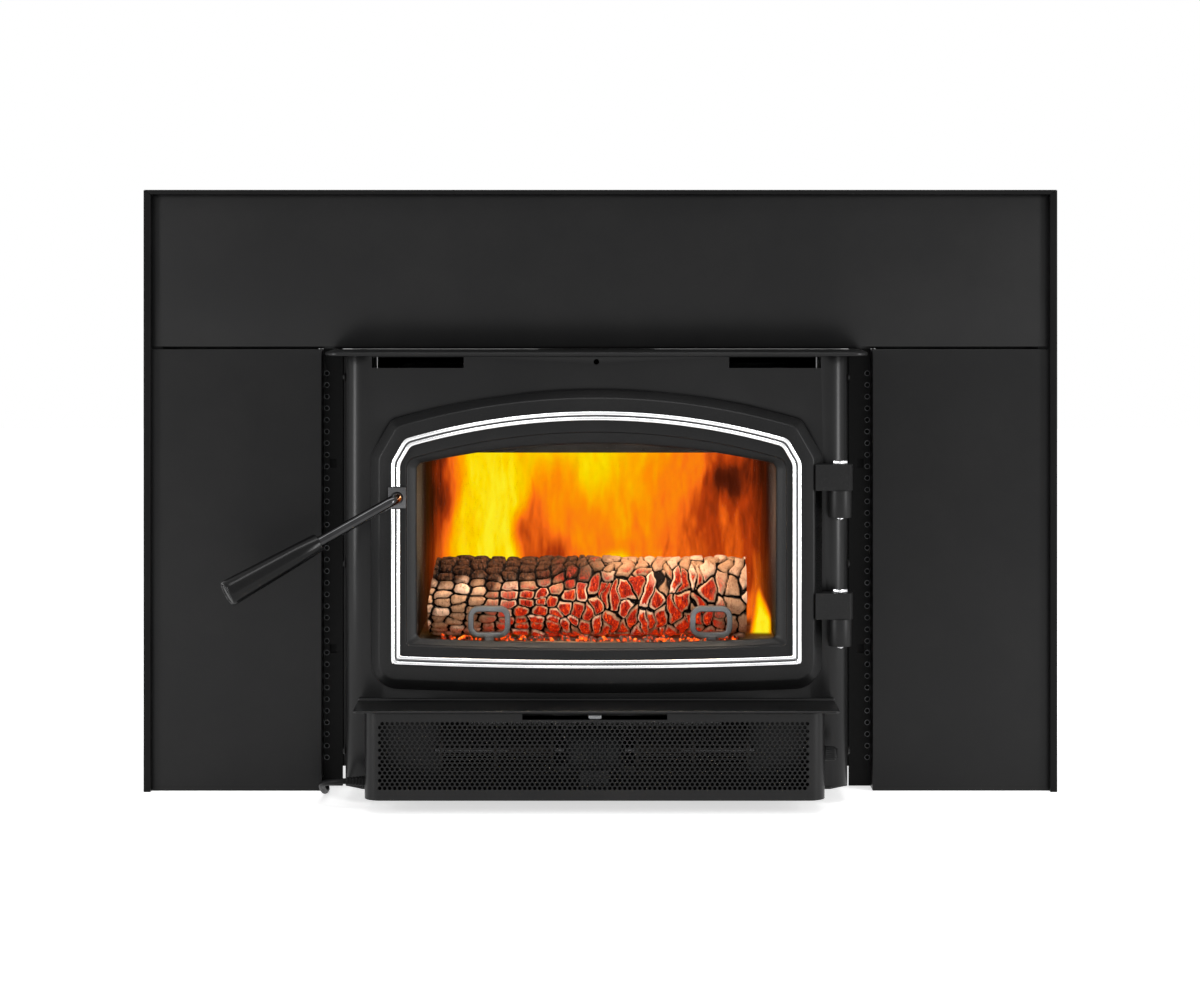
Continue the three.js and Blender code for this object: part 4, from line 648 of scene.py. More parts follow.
def makeBracket(name, side, edge):
    shape = bracketShape
    web = edge + side * 2.3
    outer = web + side * shape["sheet"]
    inner = edge - side * shape["reaches"]["left" if side < 0 else "right"]
    front, depth = shape["depth"] - shape["sheet"], shape["depth"]
    angle = addBlock(name, (min(inner, outer), front, 0), (max(inner, outer), depth, shape["top"]))
    fused(angle, addBlock("web", (min(web, outer), 2.3, 0), (max(web, outer), depth, shape["top"])))
    tools, rims = [], []
    holeX = edge - side * shape["holeInset"]
    height = shape["first"]
    while height < shape["top"] - shape["first"] / 2:
        tools.append(addRod("hole", (holeX, front - 1, height), (holeX, depth + 1, height),
            shape["holeRadius"], sides=20))
        bpy.ops.mesh.primitive_torus_add(
            major_radius=(shape["holeRadius"] + 0.15) / 1000, minor_radius=0.0004, major_segments=20,
            minor_segments=6,
            location=mm(holeX, front, height), rotation=(math.pi / 2, 0, 0))
        rims.append(named("punched_rim"))
        height += shape["pitch"]
    notchX = edge - side * (shape["notchInset"] + shape["notch"][0] / 2)
    for height in shape["notchHeights"]:
        wide, tall = shape["notch"][0] / 2, shape["notch"][1] / 2
        tools.append(addBlock("notch", (notchX - wide, front - 1, height - tall),
            (notchX + wide, depth + 1, height + tall)))
    if side < 0:
        tools.append(addBlock("cord_way", (outer - 1, 3, -1), (web + 1, front, shape["cordNotch"])))
    carved(angle, *tools)
    rounded(angle, 0.3, 1, 40)
    finishPiece(joined(f"punched_rims_{name[8:-9]}", rims), greySteel, "insert")
    # painted shade: the angle takes the darker trim paint, for the recess behind the panels
    return finishPiece(angle, trimAndShadePaint, "insert", (name[:-9],))


for label, (side, edge) in bracketShape["edges"].items():
    makeBracket(f"bracket_{label}_finished", side, edge)
print("brackets punched")

# hex screws that hold the casing, one model copied along the edges
screwShape = {"flange": 5.4, "hex": 4, "rise": 2.6}


def makeScrew(name, place, axis):
    shape = screwShape
    start = Vector(place)
    top = start + Vector(axis) * shape["rise"]
    washer = turned(name, [
        (0, 0), (0, shape["flange"]), (0.5, shape["flange"]), (0.9, shape["hex"]), (0.9, 0)],
        place, axis, 20)
    head = addRod("head", start + Vector(axis) * 0.7, top, shape["hex"], sides=6)
    rounded(head, 0.4, 2)
    return joined(name, [washer, head])


casingScrews = []
for side, x in ((-1, -307.3), (1, 297.7)):
    model = makeScrew("side_screw", (x, -60, 60), (side, 0, 0))
    for y in (0, 130, 260, 390):
        for z in (0, 225, 450):
            casingScrews.append(copied(model, "side_screw", (0, y, z)))
    bpy.data.objects.remove(model)
topModel = makeScrew("top_screw", (-294, 0, 541), (0, 0, 1))
for x in (0, 193, 386, 579):
    for y in (60, 378):
        casingScrews.append(copied(topModel, "top_screw", (x, y, 0)))
bpy.data.objects.remove(topModel)
finishPiece(joined("casing_screws", casingScrews), satinPaint, "insert")

# pipe collar: rolled rim, three screw holes
collarShape = {"x": -4.8, "y": 190, "low": 512.3, "height": 585, "outer": 76, "inner": 71}
collar = turned("flue_collar_finished", [
    (0, 71), (0, 75.6), (0.6, 76), (71.4, 76), (72.3, 75.5), (72.7, 74.4), (72.4, 71.9), (71.6, 71)],
    (collarShape["x"], collarShape["y"], collarShape["low"]), (0, 0, 1), 96, True)
collarHoles = []
for turn in (90, 210, 330):
    out = Vector((math.cos(math.radians(turn)), math.sin(math.radians(turn)), 0))
    centre = Vector((collarShape["x"], collarShape["y"], 573))
    collarHoles.append(addRod("hole", centre + out * 68, centre + out * 80, 2.4, sides=16))
carved(collar, *collarHoles)
finishPiece(collar, scaledPlate, "insert", ("flue_collar",))
print("collar and screws done")


# the door's arched outline, drawn in from its edge by an inset of its own at side, top and bottom
doorShape = {
    "middle": -4.8, "half": 269.5, "bottom": 138.4, "bow": 5, "apex": 496.3, "shoulder": 417.99, "slope": 60,
    "archRadius": 840, "corner": 33, "arcSteps": 40, "cornerSteps": 9, "bowSteps": 12, "fillet": 5,
    "back": -85, "face": -105,
}


def cutCorner(before, corner, after, reach, steps=4):
    toBefore, toAfter = before - corner, after - corner
    cut = min(reach, 0.45 * toBefore.length, 0.45 * toAfter.length)
    start = corner + toBefore.normalized() * cut
    end = corner + toAfter.normalized() * cut
    places = []
    for i in range(steps + 1):
        t = i / steps
        places.append(start * (1 - t) ** 2 + corner * 2 * t * (1 - t) + end * t ** 2)
    return places


def doorRing(side, top=None, bottom=None, archRadius=None, corner=None):
    shape = doorShape
    top = side if top is None else top
    bottom = side if bottom is None else bottom
    corner = max(shape["corner"] - side, 4) if corner is None else corner
    half = shape["half"] - side
    low = shape["bottom"] + bottom
    radius = archRadius or shape["archRadius"] - top
    slope = math.radians(shape["slope"])
    shoulder = shape["shoulder"] - side * math.tan((math.pi / 2 - slope) / 2)
    centre = shape["apex"] - top - radius
    along = Vector((-math.cos(slope), math.sin(slope)))
    start = Vector((half, shoulder - centre))
    towards = start.dot(along)
    reach = max(-towards + math.sqrt(towards ** 2 - start.length_squared + radius ** 2), 0.5)
    meet = start + along * reach
    meetAngle = math.atan2(meet.y, meet.x)
    straight = half - corner
    right = []
    for i in range(shape["cornerSteps"] + 1):
        angle = -math.pi / 2 + math.pi / 2 * i / shape["cornerSteps"]
        right.append(Vector((straight + corner * math.cos(angle), low + corner + corner * math.sin(angle))))
    arch = []
    for i in range(shape["arcSteps"] + 1):
        angle = meetAngle + (math.pi - 2 * meetAngle) * i / shape["arcSteps"]
        arch.append(Vector((radius * math.cos(angle), centre + radius * math.sin(angle))))
    edge = Vector((half, shoulder))
    right += cutCorner(right[-1], edge, arch[0], shape["fillet"])
    right += cutCorner(edge, arch[0], arch[1], shape["fillet"])
    left = [Vector((-p.x, p.y)) for p in reversed(right)]
    bow = []
    for i in range(1, shape["bowSteps"]):
        u = -1 + 2 * i / shape["bowSteps"]
        bow.append(Vector((u * straight, low - shape["bow"] * (1 - u * u))))
    return [(p.x + shape["middle"], p.y) for p in bow + right + arch[1:-1] + left]


def ringPiece(name, rows):
    # a frame round the window: each row is one outline at one depth, going once round the section
    points, faces = [], []
    count = len(rows[0][0])
    for ring, y in rows:
        points += [mm(x, y, z) for x, z in ring]
    for a in range(len(rows)):
        b = (a + 1) % len(rows)
        for i in range(count):
            k = (i + 1) % count
            faces.append((a * count + i, a * count + k, b * count + k, b * count + i))
    mesh = bpy.data.meshes.new(name)
    mesh.from_pydata(points, [], faces)
    piece = bpy.data.objects.new(name, mesh)
    scene.collection.objects.link(piece)
    return recalculated(piece)


def glassRing(grow):
    return doorRing(55.5 - grow, 64.5 - grow, 61 - grow, 960, 7 + grow)


def outerRing(share):
    return doorRing(10.9 * share, 9.9 * share, 13.2 * share)


doorRows = [
    (outerRing(0.06), -85), (outerRing(0), -85.7), (outerRing(0), -88.6), (outerRing(0.04), -89.8),
    (outerRing(0.12), -91.2), (outerRing(0.88), -103.2), (outerRing(0.98), -104.4), (outerRing(1.12), -105),
    (doorRing(41.8, 48.3, 52.3), -105), (doorRing(42.8, 49.3, 53.3), -104.8),
    (doorRing(43.4, 49.9, 53.9), -104.2),
    (doorRing(43.6, 50.1, 54.1), -102.9), (doorRing(44.2, 50.7, 54.7), -102.2),
    (doorRing(45.4, 51.9, 55.7), -101.9),
    (doorRing(53.2, 62, 58.8, 960, 8.5), -96.2), (doorRing(54.7, 63.6, 60.3, 960, 7.6), -95.1),
    (doorRing(55.5, 64.5, 61, 960, 7), -93.8), (glassRing(0), -91.6), (glassRing(7.3), -91.6),
    (glassRing(7.3), -85),
    (doorRing(16.3), -85), (doorRing(16.3), -88), (doorRing(4.7), -88), (doorRing(4.7), -85),
]
doorFrame = ringPiece("door_frame_finished", doorRows)

lugShape = {"x": 285.7, "y": -96, "radius": 15.4, "height": 31, "reach": 29.7,
    "tops": (254.6, 407.8), "pin": 5.05}
for top in lugShape["tops"]:
    low = top - lugShape["height"]
    x, y = lugShape["x"], lugShape["y"]
    plate = addBlock("lug", (x - lugShape["reach"], -107, low), (x + 9.2, -85, top))
    knuckle = addRod("knuckle", (x, y, low), (x, y, top), lugShape["radius"], sides=48)
    carved(knuckle, addBlock("trim", (x - 30, -85, low - 1), (x + 30, -60, top + 1)),
        addBlock("trim", (x - 30, -140, low - 1), (x + 30, -107, top + 1)))
    fused(plate, knuckle)
    rounded(plate, 1.6, 3)
    carved(plate, addRod("pin_hole", (x, y, low - 1), (x, y, top + 1), lugShape["pin"], sides=24))
    fused(doorFrame, plate)

bossShape = {"x": -241.5, "z": 368.6, "width": 22, "height": 26, "rise": 3, "hole": 6.8}
boss = addBlock("boss", (-252.5, -108, 355.6), (-230.5, -86, 381.6))
rounded(boss, 2.2, 3)
fused(doorFrame, boss)
carved(doorFrame, addRod("rod_hole", (bossShape["x"], -115, bossShape["z"]),
    (bossShape["x"], -84, bossShape["z"]), bossShape["hole"], sides=32))
finishPiece(doorFrame, castPaint, "door", ("door_frame",), 38)
print("door cast")

# nickel moulding: two rounded ridges with a groove between, open at the handle's boss
beadSection = [
    (0, -105.3), (0, -107.1), (0.2, -108.1), (0.9, -109), (2.3, -109.5), (3.7, -109.2), (4.7, -108.3),
    (5.1, -107.3),
    (5.65, -107), (6.2, -107.3), (6.6, -108.3), (7.6, -109.2), (9, -109.5), (10.4, -109), (11.1, -108.1),
    (11.3, -107.1), (11.3, -105.3),
]
beadRows = [(doorRing(25.3 + e, 24.8 + e, 31 + e, None, max(6 - e / 3, 1.5)), y) for e, y in beadSection]
doorBead = ringPiece("door_bead_finished", beadRows)
carved(doorBead, addBlock("boss_gap", (-270, -120, 355.3), (-215, -100, 381.9)))
finishPiece(doorBead, beadNickel, "door", ("door_bead",), 50)

escutcheon = addBlock("handle_escutcheon", (-252, -109, 356.2), (-231, -108, 381))
rounded(escutcheon, 0.4, 2)
carved(escutcheon, addRod("rod_hole", (-241.5, -115, 368.6), (-241.5, -100, 368.6), 7.2, sides=32))
finishPiece(escutcheon, darkSteel, "door")


def ropeRows(section, outline):
    low, high, front, back = section
    rows = []
    for i in range(12):
        angle = math.tau * i / 12
        inset = (low + high) / 2 + (high - low) / 2 * math.cos(angle)
        rows.append((outline(inset), (front + back) / 2 + (back - front) / 2 * math.sin(angle)))
    return rows


doorSeal = ringPiece("door_seal_finished", ropeRows((5, 16, -87.7, -80.3), doorRing))
finishPiece(doorSeal, sealRope, "door", ("door_seal",), 60)
glassSeal = ringPiece("glass_seal_finished", ropeRows((1, 7, -91.3, -89.3), glassRing))
finishPiece(glassSeal, sealRope, "door", ("glass_seal",), 60)

clampRows = [(glassRing(2), -84.7), (glassRing(2), -82.9), (glassRing(2.2), -82.7),
    (glassRing(13.3), -82.7), (glassRing(13.5), -82.9), (glassRing(13.5), -84.7)]
glassClamp = ringPiece("glass_clamp_finished", clampRows)
finishPiece(glassClamp, scaledPlate, "door", ("glass_clamp",))
clampScrews = []
for x, z in ((-190, 188), (-66, 184.5), (57, 184.5), (180, 188), (-226.5, 250), (-226.5, 340), (217, 250),
        (217, 340), (-66, 437.5), (57, 437.5)):
    clampScrews.append(turned("clamp_screw", [(0, 0), (0, 4.2), (0.7, 4), (1.5, 2.8), (1.8, 1.2), (1.8, 0)],
        (x, -82.7, z), (0, 1, 0), 20))
finishPiece(joined("clamp_screws", clampScrews), zincPlate, "door")
print("door dressed")

# hinges: welded barrels on the body, hex-headed pins through the door's lugs
hingeShape = {"x": 285.7, "y": -96, "outer": 13.7, "bore": 5.2, "lows": {"lower": 191.3, "upper": 344.5},
    "tall": 32, "lug": 31}
for label, low in hingeShape["lows"].items():
    x, y = hingeShape["x"], hingeShape["y"]
    high = low + hingeShape["tall"]
    barrel = addRod(f"hinge_barrel_{label}_finished", (x, y, low), (x, y, high), hingeShape["outer"],
        sides=56)
    fused(barrel, addBlock("foot", (x - 12.5, y, low), (x - 3.5, -80.3, high)))
    rounded(barrel, 1.1, 3)
    carved(barrel, addRod("bore", (x, y, low - 1), (x, y, high + 1), hingeShape["bore"], sides=32))
    finishPiece(barrel, castPaint, "insert", (f"hinge_barrel_{label}",))
    headLow = high + 0.3 + hingeShape["lug"] + 0.3
    shank = turned("shank", [
        (0, 0), (0, 3.6), (1.2, 4.75), (headLow - low + 4, 4.75), (headLow - low + 4, 0)],
        (x, y, low - 3), (0, 0, 1), 32)
    head = addRod("head", (x, y, headLow), (x, y, headLow + 4), 10, sides=6)
    rounded(head, 0.5, 2)
    pin = joined(f"hinge_pin_{label}_finished", [shank, head])
    finishPiece(pin, brightSteel, "door", (f"hinge_pin_{label}",))
print("hinges hung")

# handle: bent rod, turned grip with a rimmed end, latch finger
handleShape = {"x": -241.5, "z": 368.6, "rod": 6.35, "bend": 16, "droop": 28.5, "tilt": 21, "reach": 96}
droop, tilt = math.radians(handleShape["droop"]), math.radians(handleShape["tilt"])
outward = Vector((-math.cos(droop) * math.cos(tilt), -math.sin(tilt), -math.sin(droop) * math.cos(tilt)))
forward = Vector((0, -1, 0))
bendStart = Vector((handleShape["x"], -112, handleShape["z"]))
sideways = (outward - forward * outward.dot(forward)).normalized()
bendCentre = bendStart + sideways * handleShape["bend"]
bendTurn = forward.angle(outward)
rodLine = [Vector((handleShape["x"], -63, handleShape["z"])),
    Vector((handleShape["x"], -64, handleShape["z"])), Vector((handleShape["x"], -110, handleShape["z"]))]
for i in range(17):
    angle = bendTurn * i / 16
    rodLine.append(bendCentre - sideways * handleShape["bend"] * math.cos(angle)
        + forward * handleShape["bend"] * math.sin(angle))
gripFoot = rodLine[-1] + outward * handleShape["reach"]
rodLine += [rodLine[-1] + outward * 4, gripFoot]
rodCurve = bpy.data.curves.new("handle_rod_line", "CURVE")
rodCurve.dimensions = "3D"
rodSpline = rodCurve.splines.new("POLY")
rodSpline.points.add(len(rodLine) - 1)
for knot, place in zip(rodSpline.points, rodLine):
    knot.co = (*mm(*place), 1)
rodCurve.bevel_depth = handleShape["rod"] / 1000
rodCurve.bevel_resolution = 8
rodCurve.use_fill_caps = True
rodObject = bpy.data.objects.new("handle_rod_line", rodCurve)
scene.collection.objects.link(rodObject)
activate(rodObject)
bpy.ops.object.convert(target="MESH")
handleRod = named("handle_rod_finished")
recalculated(handleRod)
finishPiece(handleRod, rodSteel, "handle", ("handle_rod",))

gripProfile = [
    (0.3, 0), (0.3, 9.6), (0.7, 10.8), (1.8, 11.4), (30, 12.55), (60, 13.7), (90, 14.75), (117, 15.6),
    (120.5, 15.7),
    (122.4, 15.35), (123.6, 14.4), (124, 13.3), (123.8, 12.3), (122.9, 11.6), (122.4, 10.6), (122.4, 0),
]
grip = turned("handle_grip_finished", gripProfile, gripFoot, outward, 64)
finishPiece(grip, gripLacquer, "handle", ("handle_grip",))
for nodeName, body in (("latch_cam", "handle"), ("catch_plate", "insert")):
    softenedNode(nodeName, 0.8, darkSteel, body)
print("handle fitted")


# blower cover: one sheet, developed flat with every round hole in it, then wrapped round the corners
coverShape = {
    "left": -278.3, "right": 264.7, "front": -150, "back": -80.3, "bottom": 16.6, "top": 118.5,
    "corner": 20, "sheet": 2,
    "notch": (-93, 79.5, 111.5),
}
grilleShape = {"left": -259, "low": 31.3, "pitchX": 5.87, "pitchZ": 4.46, "columns": 86, "rows": 18,
    "holeRadius": 2.2, "sides": 12}


def wrappedPlace(along, z):
    shape = coverShape
    flatLeft, flatRight = shape["left"] + shape["corner"], shape["right"] - shape["corner"]
    if flatLeft <= along <= flatRight:
        return mm(along, shape["front"], z)
    side, edge = (-1, flatLeft) if along < flatLeft else (1, flatRight)
    over, bend = abs(along - edge), shape["corner"] * math.pi / 2
    if over < bend:
        angle = over / shape["corner"]
        return mm(edge + side * shape["corner"] * math.sin(angle),
            shape["front"] + shape["corner"] * (1 - math.cos(angle)), z)
    return mm(edge + side * shape["corner"], shape["front"] + shape["corner"] + over - bend, z)


def perforatedSheet(name):
    shape, grille = coverShape, grilleShape
    half = grille["pitchX"] / 2
    start = grille["left"] - half
    gridAlong = [start + i * half for i in range(2 * grille["columns"] + 2)]
    bend = shape["corner"] * math.pi / 2
    leg = shape["back"] - shape["front"] - shape["corner"]
    margins = [bend * i / 9 for i in range(1, 10)] + [bend + leg * i / 3 for i in range(1, 4)]
    leftAlong = [shape["left"] + shape["corner"] - over for over in reversed(margins)]
    rightAlong = [shape["right"] - shape["corner"] + over for over in margins]
    alongs = [a for a in leftAlong if a < start - 1] + gridAlong + [
        a for a in rightAlong if a > gridAlong[-1] + 1]
    first = alongs.index(gridAlong[0])
    lowest = grille["low"] - grille["pitchZ"] / 2
    rowLevels = [lowest + r * grille["pitchZ"] for r in range(grille["rows"] + 1)]
    levels = [shape["bottom"], 22.8] + rowLevels + [shape["notch"][2], shape["top"]]
    points = [wrappedPlace(a, z) for z in levels for a in alongs]
    across = len(alongs)
    faces = []
    for level in range(len(levels) - 1):
        row = level - 2
        inGrille = 0 <= row < grille["rows"]
        for i in range(across - 1):
            gridStep = i - first
            if inGrille and 0 <= gridStep < len(gridAlong) - 1:
                blank = 0 if row % 2 else len(gridAlong) - 2  # each row starts or ends with half a blank cell
                if gridStep != blank:
                    continue
            middle = (alongs[i] + alongs[i + 1]) / 2
            if level == len(levels) - 2 and shape["notch"][0] < middle < shape["notch"][1]:
                continue
            low, high = level * across + i, (level + 1) * across + i
            faces.append((low, low + 1, high + 1, high))
        if not inGrille:
            continue
        for column in range(grille["columns"]):
            i = first + 2 * column + (1 if row % 2 else 0)
            low, high = level * across + i, (level + 1) * across + i
            outer = (low, low + 1, low + 2, high + 2, high + 1, high)
            centre = (alongs[i + 1], grille["low"] + row * grille["pitchZ"])
            rim = len(points)
            for k in range(grille["sides"]):
                angle = math.radians(210 + 30 * k)
                points.append(wrappedPlace(centre[0] + grille["holeRadius"] * math.cos(angle),
                    centre[1] + grille["holeRadius"] * math.sin(angle)))
            for k in range(6):
                faces.append((outer[k], outer[(k + 1) % 6], rim + (2 * k + 2) % 12, rim + 2 * k + 1,
                    rim + 2 * k))
    mesh = bpy.data.meshes.new(name)
    mesh.from_pydata(points, [], faces)
    sheet = bpy.data.objects.new(name, mesh)
    scene.collection.objects.link(sheet)
    thicken = sheet.modifiers.new("sheet", "SOLIDIFY")
    thicken.thickness = shape["sheet"] / 1000
    thicken.offset = -1
    applyAll(sheet)
    return sheet


blowerCover = perforatedSheet("blower_cover_perforated")
carved(
    blowerCover,
    addRod("hole", (-282, -112, 32.7), (-274, -112, 32.7), 4.9, sides=32),
    addRod("hole", (260, -115, 66), (268, -115, 66), 3.45, sides=32),
)
finishPiece(blowerCover, coverPaint, "insert", ("blower_cover",), 25)
print("cover perforated")

# blower motor: laminated core between two rounded end bells, on its saddle
motorShape = {"middle": (-6.8, -113, 70), "half": 36, "radius": 29, "bore": 4.3, "core": 14, "foot": 18,
    "low": 20.3, "high": 50.3}


def makeMotor(name):
    shape = motorShape
    half, radius, core = shape["half"], shape["radius"], shape["core"]
    side = [(core, radius), (core + 0.6, radius - 1.8), (half - 9, radius - 2.4), (half - 4, radius - 6),
        (half - 2.5, radius - 12),
            (half - 2, 11), (half, 10), (half, shape["bore"])]
    laminations = []
    for i in range(9):
        along = -core + 2 * core * i / 9
        laminations += [(along + 0.3, radius), (along + 2.6, radius), (along + 2.9, radius - 0.5)]
    profile = [(-a, r) for a, r in reversed(side)] + laminations + side
    motor = turned(name, profile, shape["middle"], (1, 0, 0), 56, True)
    x, y, z = shape["middle"]
    foot = shape["foot"]
    saddle = rounded(addBlock("saddle", (x - foot, y - foot, shape["low"]),
        (x + foot, y + foot, shape["high"])), 1.6, 3)
    fused(motor, saddle)
    bolts = [addRod("bolt", (x + side * (half - 6), y + 21 * math.cos(turn), z + 21 * math.sin(turn)),
                    (x + side * (half - 1.5), y + 21 * math.cos(turn), z + 21 * math.sin(turn)), 2.2, sides=6)
             for side in (-1, 1) for turn in (0.8, 2.34, 3.94, 5.48)]
    return joined(name, [motor] + bolts)


finishPiece(makeMotor("blower_motor_wound"), motorEnamel, "insert",
    ("blower_motor",), 35)

# cage wheel: hub disc, blades and end rings; the left one is the right one turned about
wheelShape = {"start": 48, "end": 182, "radius": 30, "inner": 26.6, "disc": 4, "hub": 9.3,
    "hubLength": 53.6, "bore": 4.2, "blades": 36}


def makeWheel(name):
    shape = wheelShape
    x, y, z = motorShape["middle"]
    origin = (x + shape["start"], y, z)
    length = shape["end"] - shape["start"]
    hub = turned(name, [
        (0, shape["bore"]), (0, shape["hub"] - 1), (0, shape["radius"] - 0.6), (0.6, shape["radius"]),
        (shape["disc"], shape["radius"]),
        (shape["disc"], shape["hub"]), (shape["hubLength"], shape["hub"]),
        (shape["hubLength"], shape["bore"])], origin, (1, 0, 0), 56, True)
    rings = [turned("ring", [
        (a, shape["inner"]), (a, shape["radius"]), (a + 3, shape["radius"]), (a + 3, shape["inner"])],
        origin, (1, 0, 0), 56, True)
             for a in (length / 2, length - 3)]
    blade = addBlock("blade", (x + shape["start"] + shape["disc"] - 1, y - 0.5, z + shape["inner"] + 0.1),
                     (x + shape["end"] - 1, y + 0.5, z + shape["radius"] - 0.4))
    centre = mm(x, y, z)
    blades = [blade]
    for i in range(1, shape["blades"]):
        angle = math.tau * i / shape["blades"]
        swung = Vector((centre.x, centre.y * math.cos(angle) - centre.z * math.sin(angle),
            centre.y * math.sin(angle) + centre.z * math.cos(angle)))
        blades.append(copied(blade, "blade", 1000 * (centre - swung), (angle, 0, 0)))
    return joined(name, [hub] + rings + blades)


wheelRight = makeWheel("blower_wheel_right_bladed")
axleX, axleY = motorShape["middle"][0], motorShape["middle"][1] + backShift
wheelLeft = copied(wheelRight, "blower_wheel_left_bladed", (2 * axleX, 2 * axleY, 0), (0, 0, math.pi))
for wheel, nodeName in ((wheelRight, "blower_wheel_right"), (wheelLeft, "blower_wheel_left")):
    finishPiece(wheel, scaledPlate, "blower_rotor", (nodeName,))
shaft = turned("blower_shaft_turned", [
    (-190, 0), (-190, 3.2), (-189.2, 4), (189.2, 4), (190, 3.2), (190, 0)],
    motorShape["middle"], (1, 0, 0), 32)
finishPiece(shaft, darkSteel, "blower_rotor", ("blower_shaft",))
print("blower built")

# speed knob: fluted skirt, dished face with a raised pointer
knobShape = {"face": 264.7, "y": -115, "z": 66, "radius": 9.2, "length": 15, "flutes": 20,
    "depth": 0.55}
knobAxis = (knobShape["face"], knobShape["y"], knobShape["z"])
knob = turned("speed_knob_fluted", [
    (-5, 0), (-5, 2.6), (-4.6, 3), (0.5, 3), (0.5, 8.6), (1, 9.2), (2.6, 9.2), (3.2, 8.9), (11.6, 8.4),
    (13.4, 7.8), (14.6, 6.9), (15, 6.2), (14.4, 5.4), (14.2, 0)],
    knobAxis, (1, 0, 0), 120)
axisPoint = mm(*knobAxis)
for vertex in knob.data.vertices:
    along, y, z = (1000 * n for n in vertex.co - axisPoint)
    reach = math.hypot(y, z)
    if along > 2.8 and reach > 6:
        dip = knobShape["depth"] * (0.5 - 0.5 * math.cos(knobShape["flutes"] * math.atan2(z, y)))
        vertex.co.y -= y / reach * dip / 1000
        vertex.co.z -= z / reach * dip / 1000
pointer = addBlock("pointer", (knobShape["face"] + 13, knobShape["y"] - 1.2, knobShape["z"] - 6.4),
    (knobShape["face"] + 16.6, knobShape["y"] + 1.2, knobShape["z"] + 6.4))
rounded(pointer, 0.5, 2)
knob = joined("speed_knob_fluted", [knob, pointer])
finishPiece(knob, knobPlastic, "speed_control", ("speed_knob",), 40)

# air slider: flat bar with a rounded end, riveted to its valve plate
slider = rounded(addBlock("air_slider_bar", (-14.3, -152, 112.4), (1.7, -38, 118.3)), 2.3, 4)
valve = rounded(addBlock("valve", (-66.3, -50, 115.3), (53.7, -26, 118.3)), 0.5, 2)
fused(slider, valve)
finishPiece(slider, greySteel, "air_control", ("air_slider",))

# cord gland: ribbed strain relief with its collar inside the cover
ribs = []
for i in range(6):
    along = 1.2 + 3.7 * i
    thick = 4.5 + 2 * along / 24
    ribs += [(along, thick), (along + 2.3, thick), (along + 2.6, thick - 0.8), (along + 3.4, thick - 0.8)]
gland = turned("cord_gland_ribbed", [(0, 3.4), (0.4, 4.2)] + ribs + [(23.6, 6.5), (24, 6.4), (24.1, 4.6),
    (28.3, 4.6), (28.3, 0)], (-302.6, -112, 32.7), (1, 0, 0), 40)
finishPiece(gland, cordJacket, "insert", ("cord_gland",))

# plug: moulded grip with ribs, two flat blades and an earth pin
plugShape = {"place": (-493.3, 84.7, 11.2), "bladeOffset": 5.5}
plugX, plugY, plugZ = plugShape["place"]
bootRibs = []
for i in range(6):
    along = 1.5 + 4 * i
    thick = 4.4 + 2.75 * along / 27.3
    bootRibs += [(along, thick), (along + 2.4, thick), (along + 2.7, thick - 0.8), (along + 3.6, thick - 0.8)]
grip = [(27.2, 7), (29, 9.8), (31.5, 11), (38, 11), (38.8, 10.1), (40.4, 10.1), (41.2, 11), (43.6, 11),
    (44.4, 10.1), (46, 10.1), (46.8, 11),
        (49.2, 11), (50, 10.1), (51.6, 10.1), (52.4, 11), (59.6, 11), (61, 9.8), (61, 0)]
plugGrip = turned("plug_grip", [(0, 3.5), (0.4, 4.2)] + bootRibs + grip, plugShape["place"], (0, 1, 0), 48)
finishPiece(plugGrip, knobPlastic, "insert", ("power_plug",), 40)
blades = []
for side in (-1, 1):
    middle = plugX + side * plugShape["bladeOffset"]
    blades.append(rounded(addBlock("blade", (middle - 0.8, plugY + 58, plugZ - 1),
        (middle + 0.8, plugY + 77, plugZ + 5.4)), 0.45, 2))
earthPin = turned("pin", [(58, 0), (58, 2.4), (77, 2.4), (78.5, 1.8), (79, 0.6), (79, 0)],
    (plugX, plugY, plugZ - 4.5), (0, 1, 0), 24)
plugBlades = joined("plug_blades", blades + [earthPin])
finishPiece(plugBlades, brassBlade, "insert")
print("knob, slider and plug built")


# firebox plates and the deflector above the glass
for nodeName in ("firebox_left", "firebox_right", "firebox_floor", "firebox_back", "firebox_roof"):
    softenedNode(nodeName, 0.6, scaledPlate, "insert")
softenedNode("air_wash_deflector", 0.9, scaledPlate, "insert")
softenedNode("baffle_board", 1.6, boardFibre, "insert")

# firebricks: every brick its own, edges worn, faces a little uneven
brickShape = {"joint": 0.9, "edge": 1.8, "cuts": 5, "uneven": 0.5}


def layBricks(name, low, high, counts, replaced, seed):
    shape = brickShape
    size = [(high[i] - low[i]) / counts[i] for i in range(3)]
    bricks = []
    for i in range(counts[0]):
        for j in range(counts[1]):
            for k in range(counts[2]):
                start = [low[0] + i * size[0], low[1] + j * size[1], low[2] + k * size[2]]
                gap = [shape["joint"] if n > 1 else 0 for n in counts]
                brick = addBlock(name, [a + g / 2 for a, g in zip(start, gap)],
                    [a + s - g / 2 for a, s, g in zip(start, size, gap)])
                bricks.append(brick)
    wall = joined(name, bricks)
    rounded(wall, shape["edge"], 2)
    activate(wall)
    bpy.ops.object.mode_set(mode="EDIT")
    bpy.ops.mesh.select_all(action="SELECT")
    bpy.ops.mesh.subdivide(number_cuts=shape["cuts"])
    bpy.ops.object.mode_set(mode="OBJECT")
    for vertex in wall.data.vertices:  # worn inwards only, so the wall keeps its size
        dent = max(0, noise.noise(vertex.co * 90 + Vector((seed, 0, 0)))) * shape["uneven"] / 1000
        vertex.co -= vertex.normal * dent
    return finishPiece(wall, fireBrick if counts[1] == 2 else sootyBrick, "insert", replaced, 40)


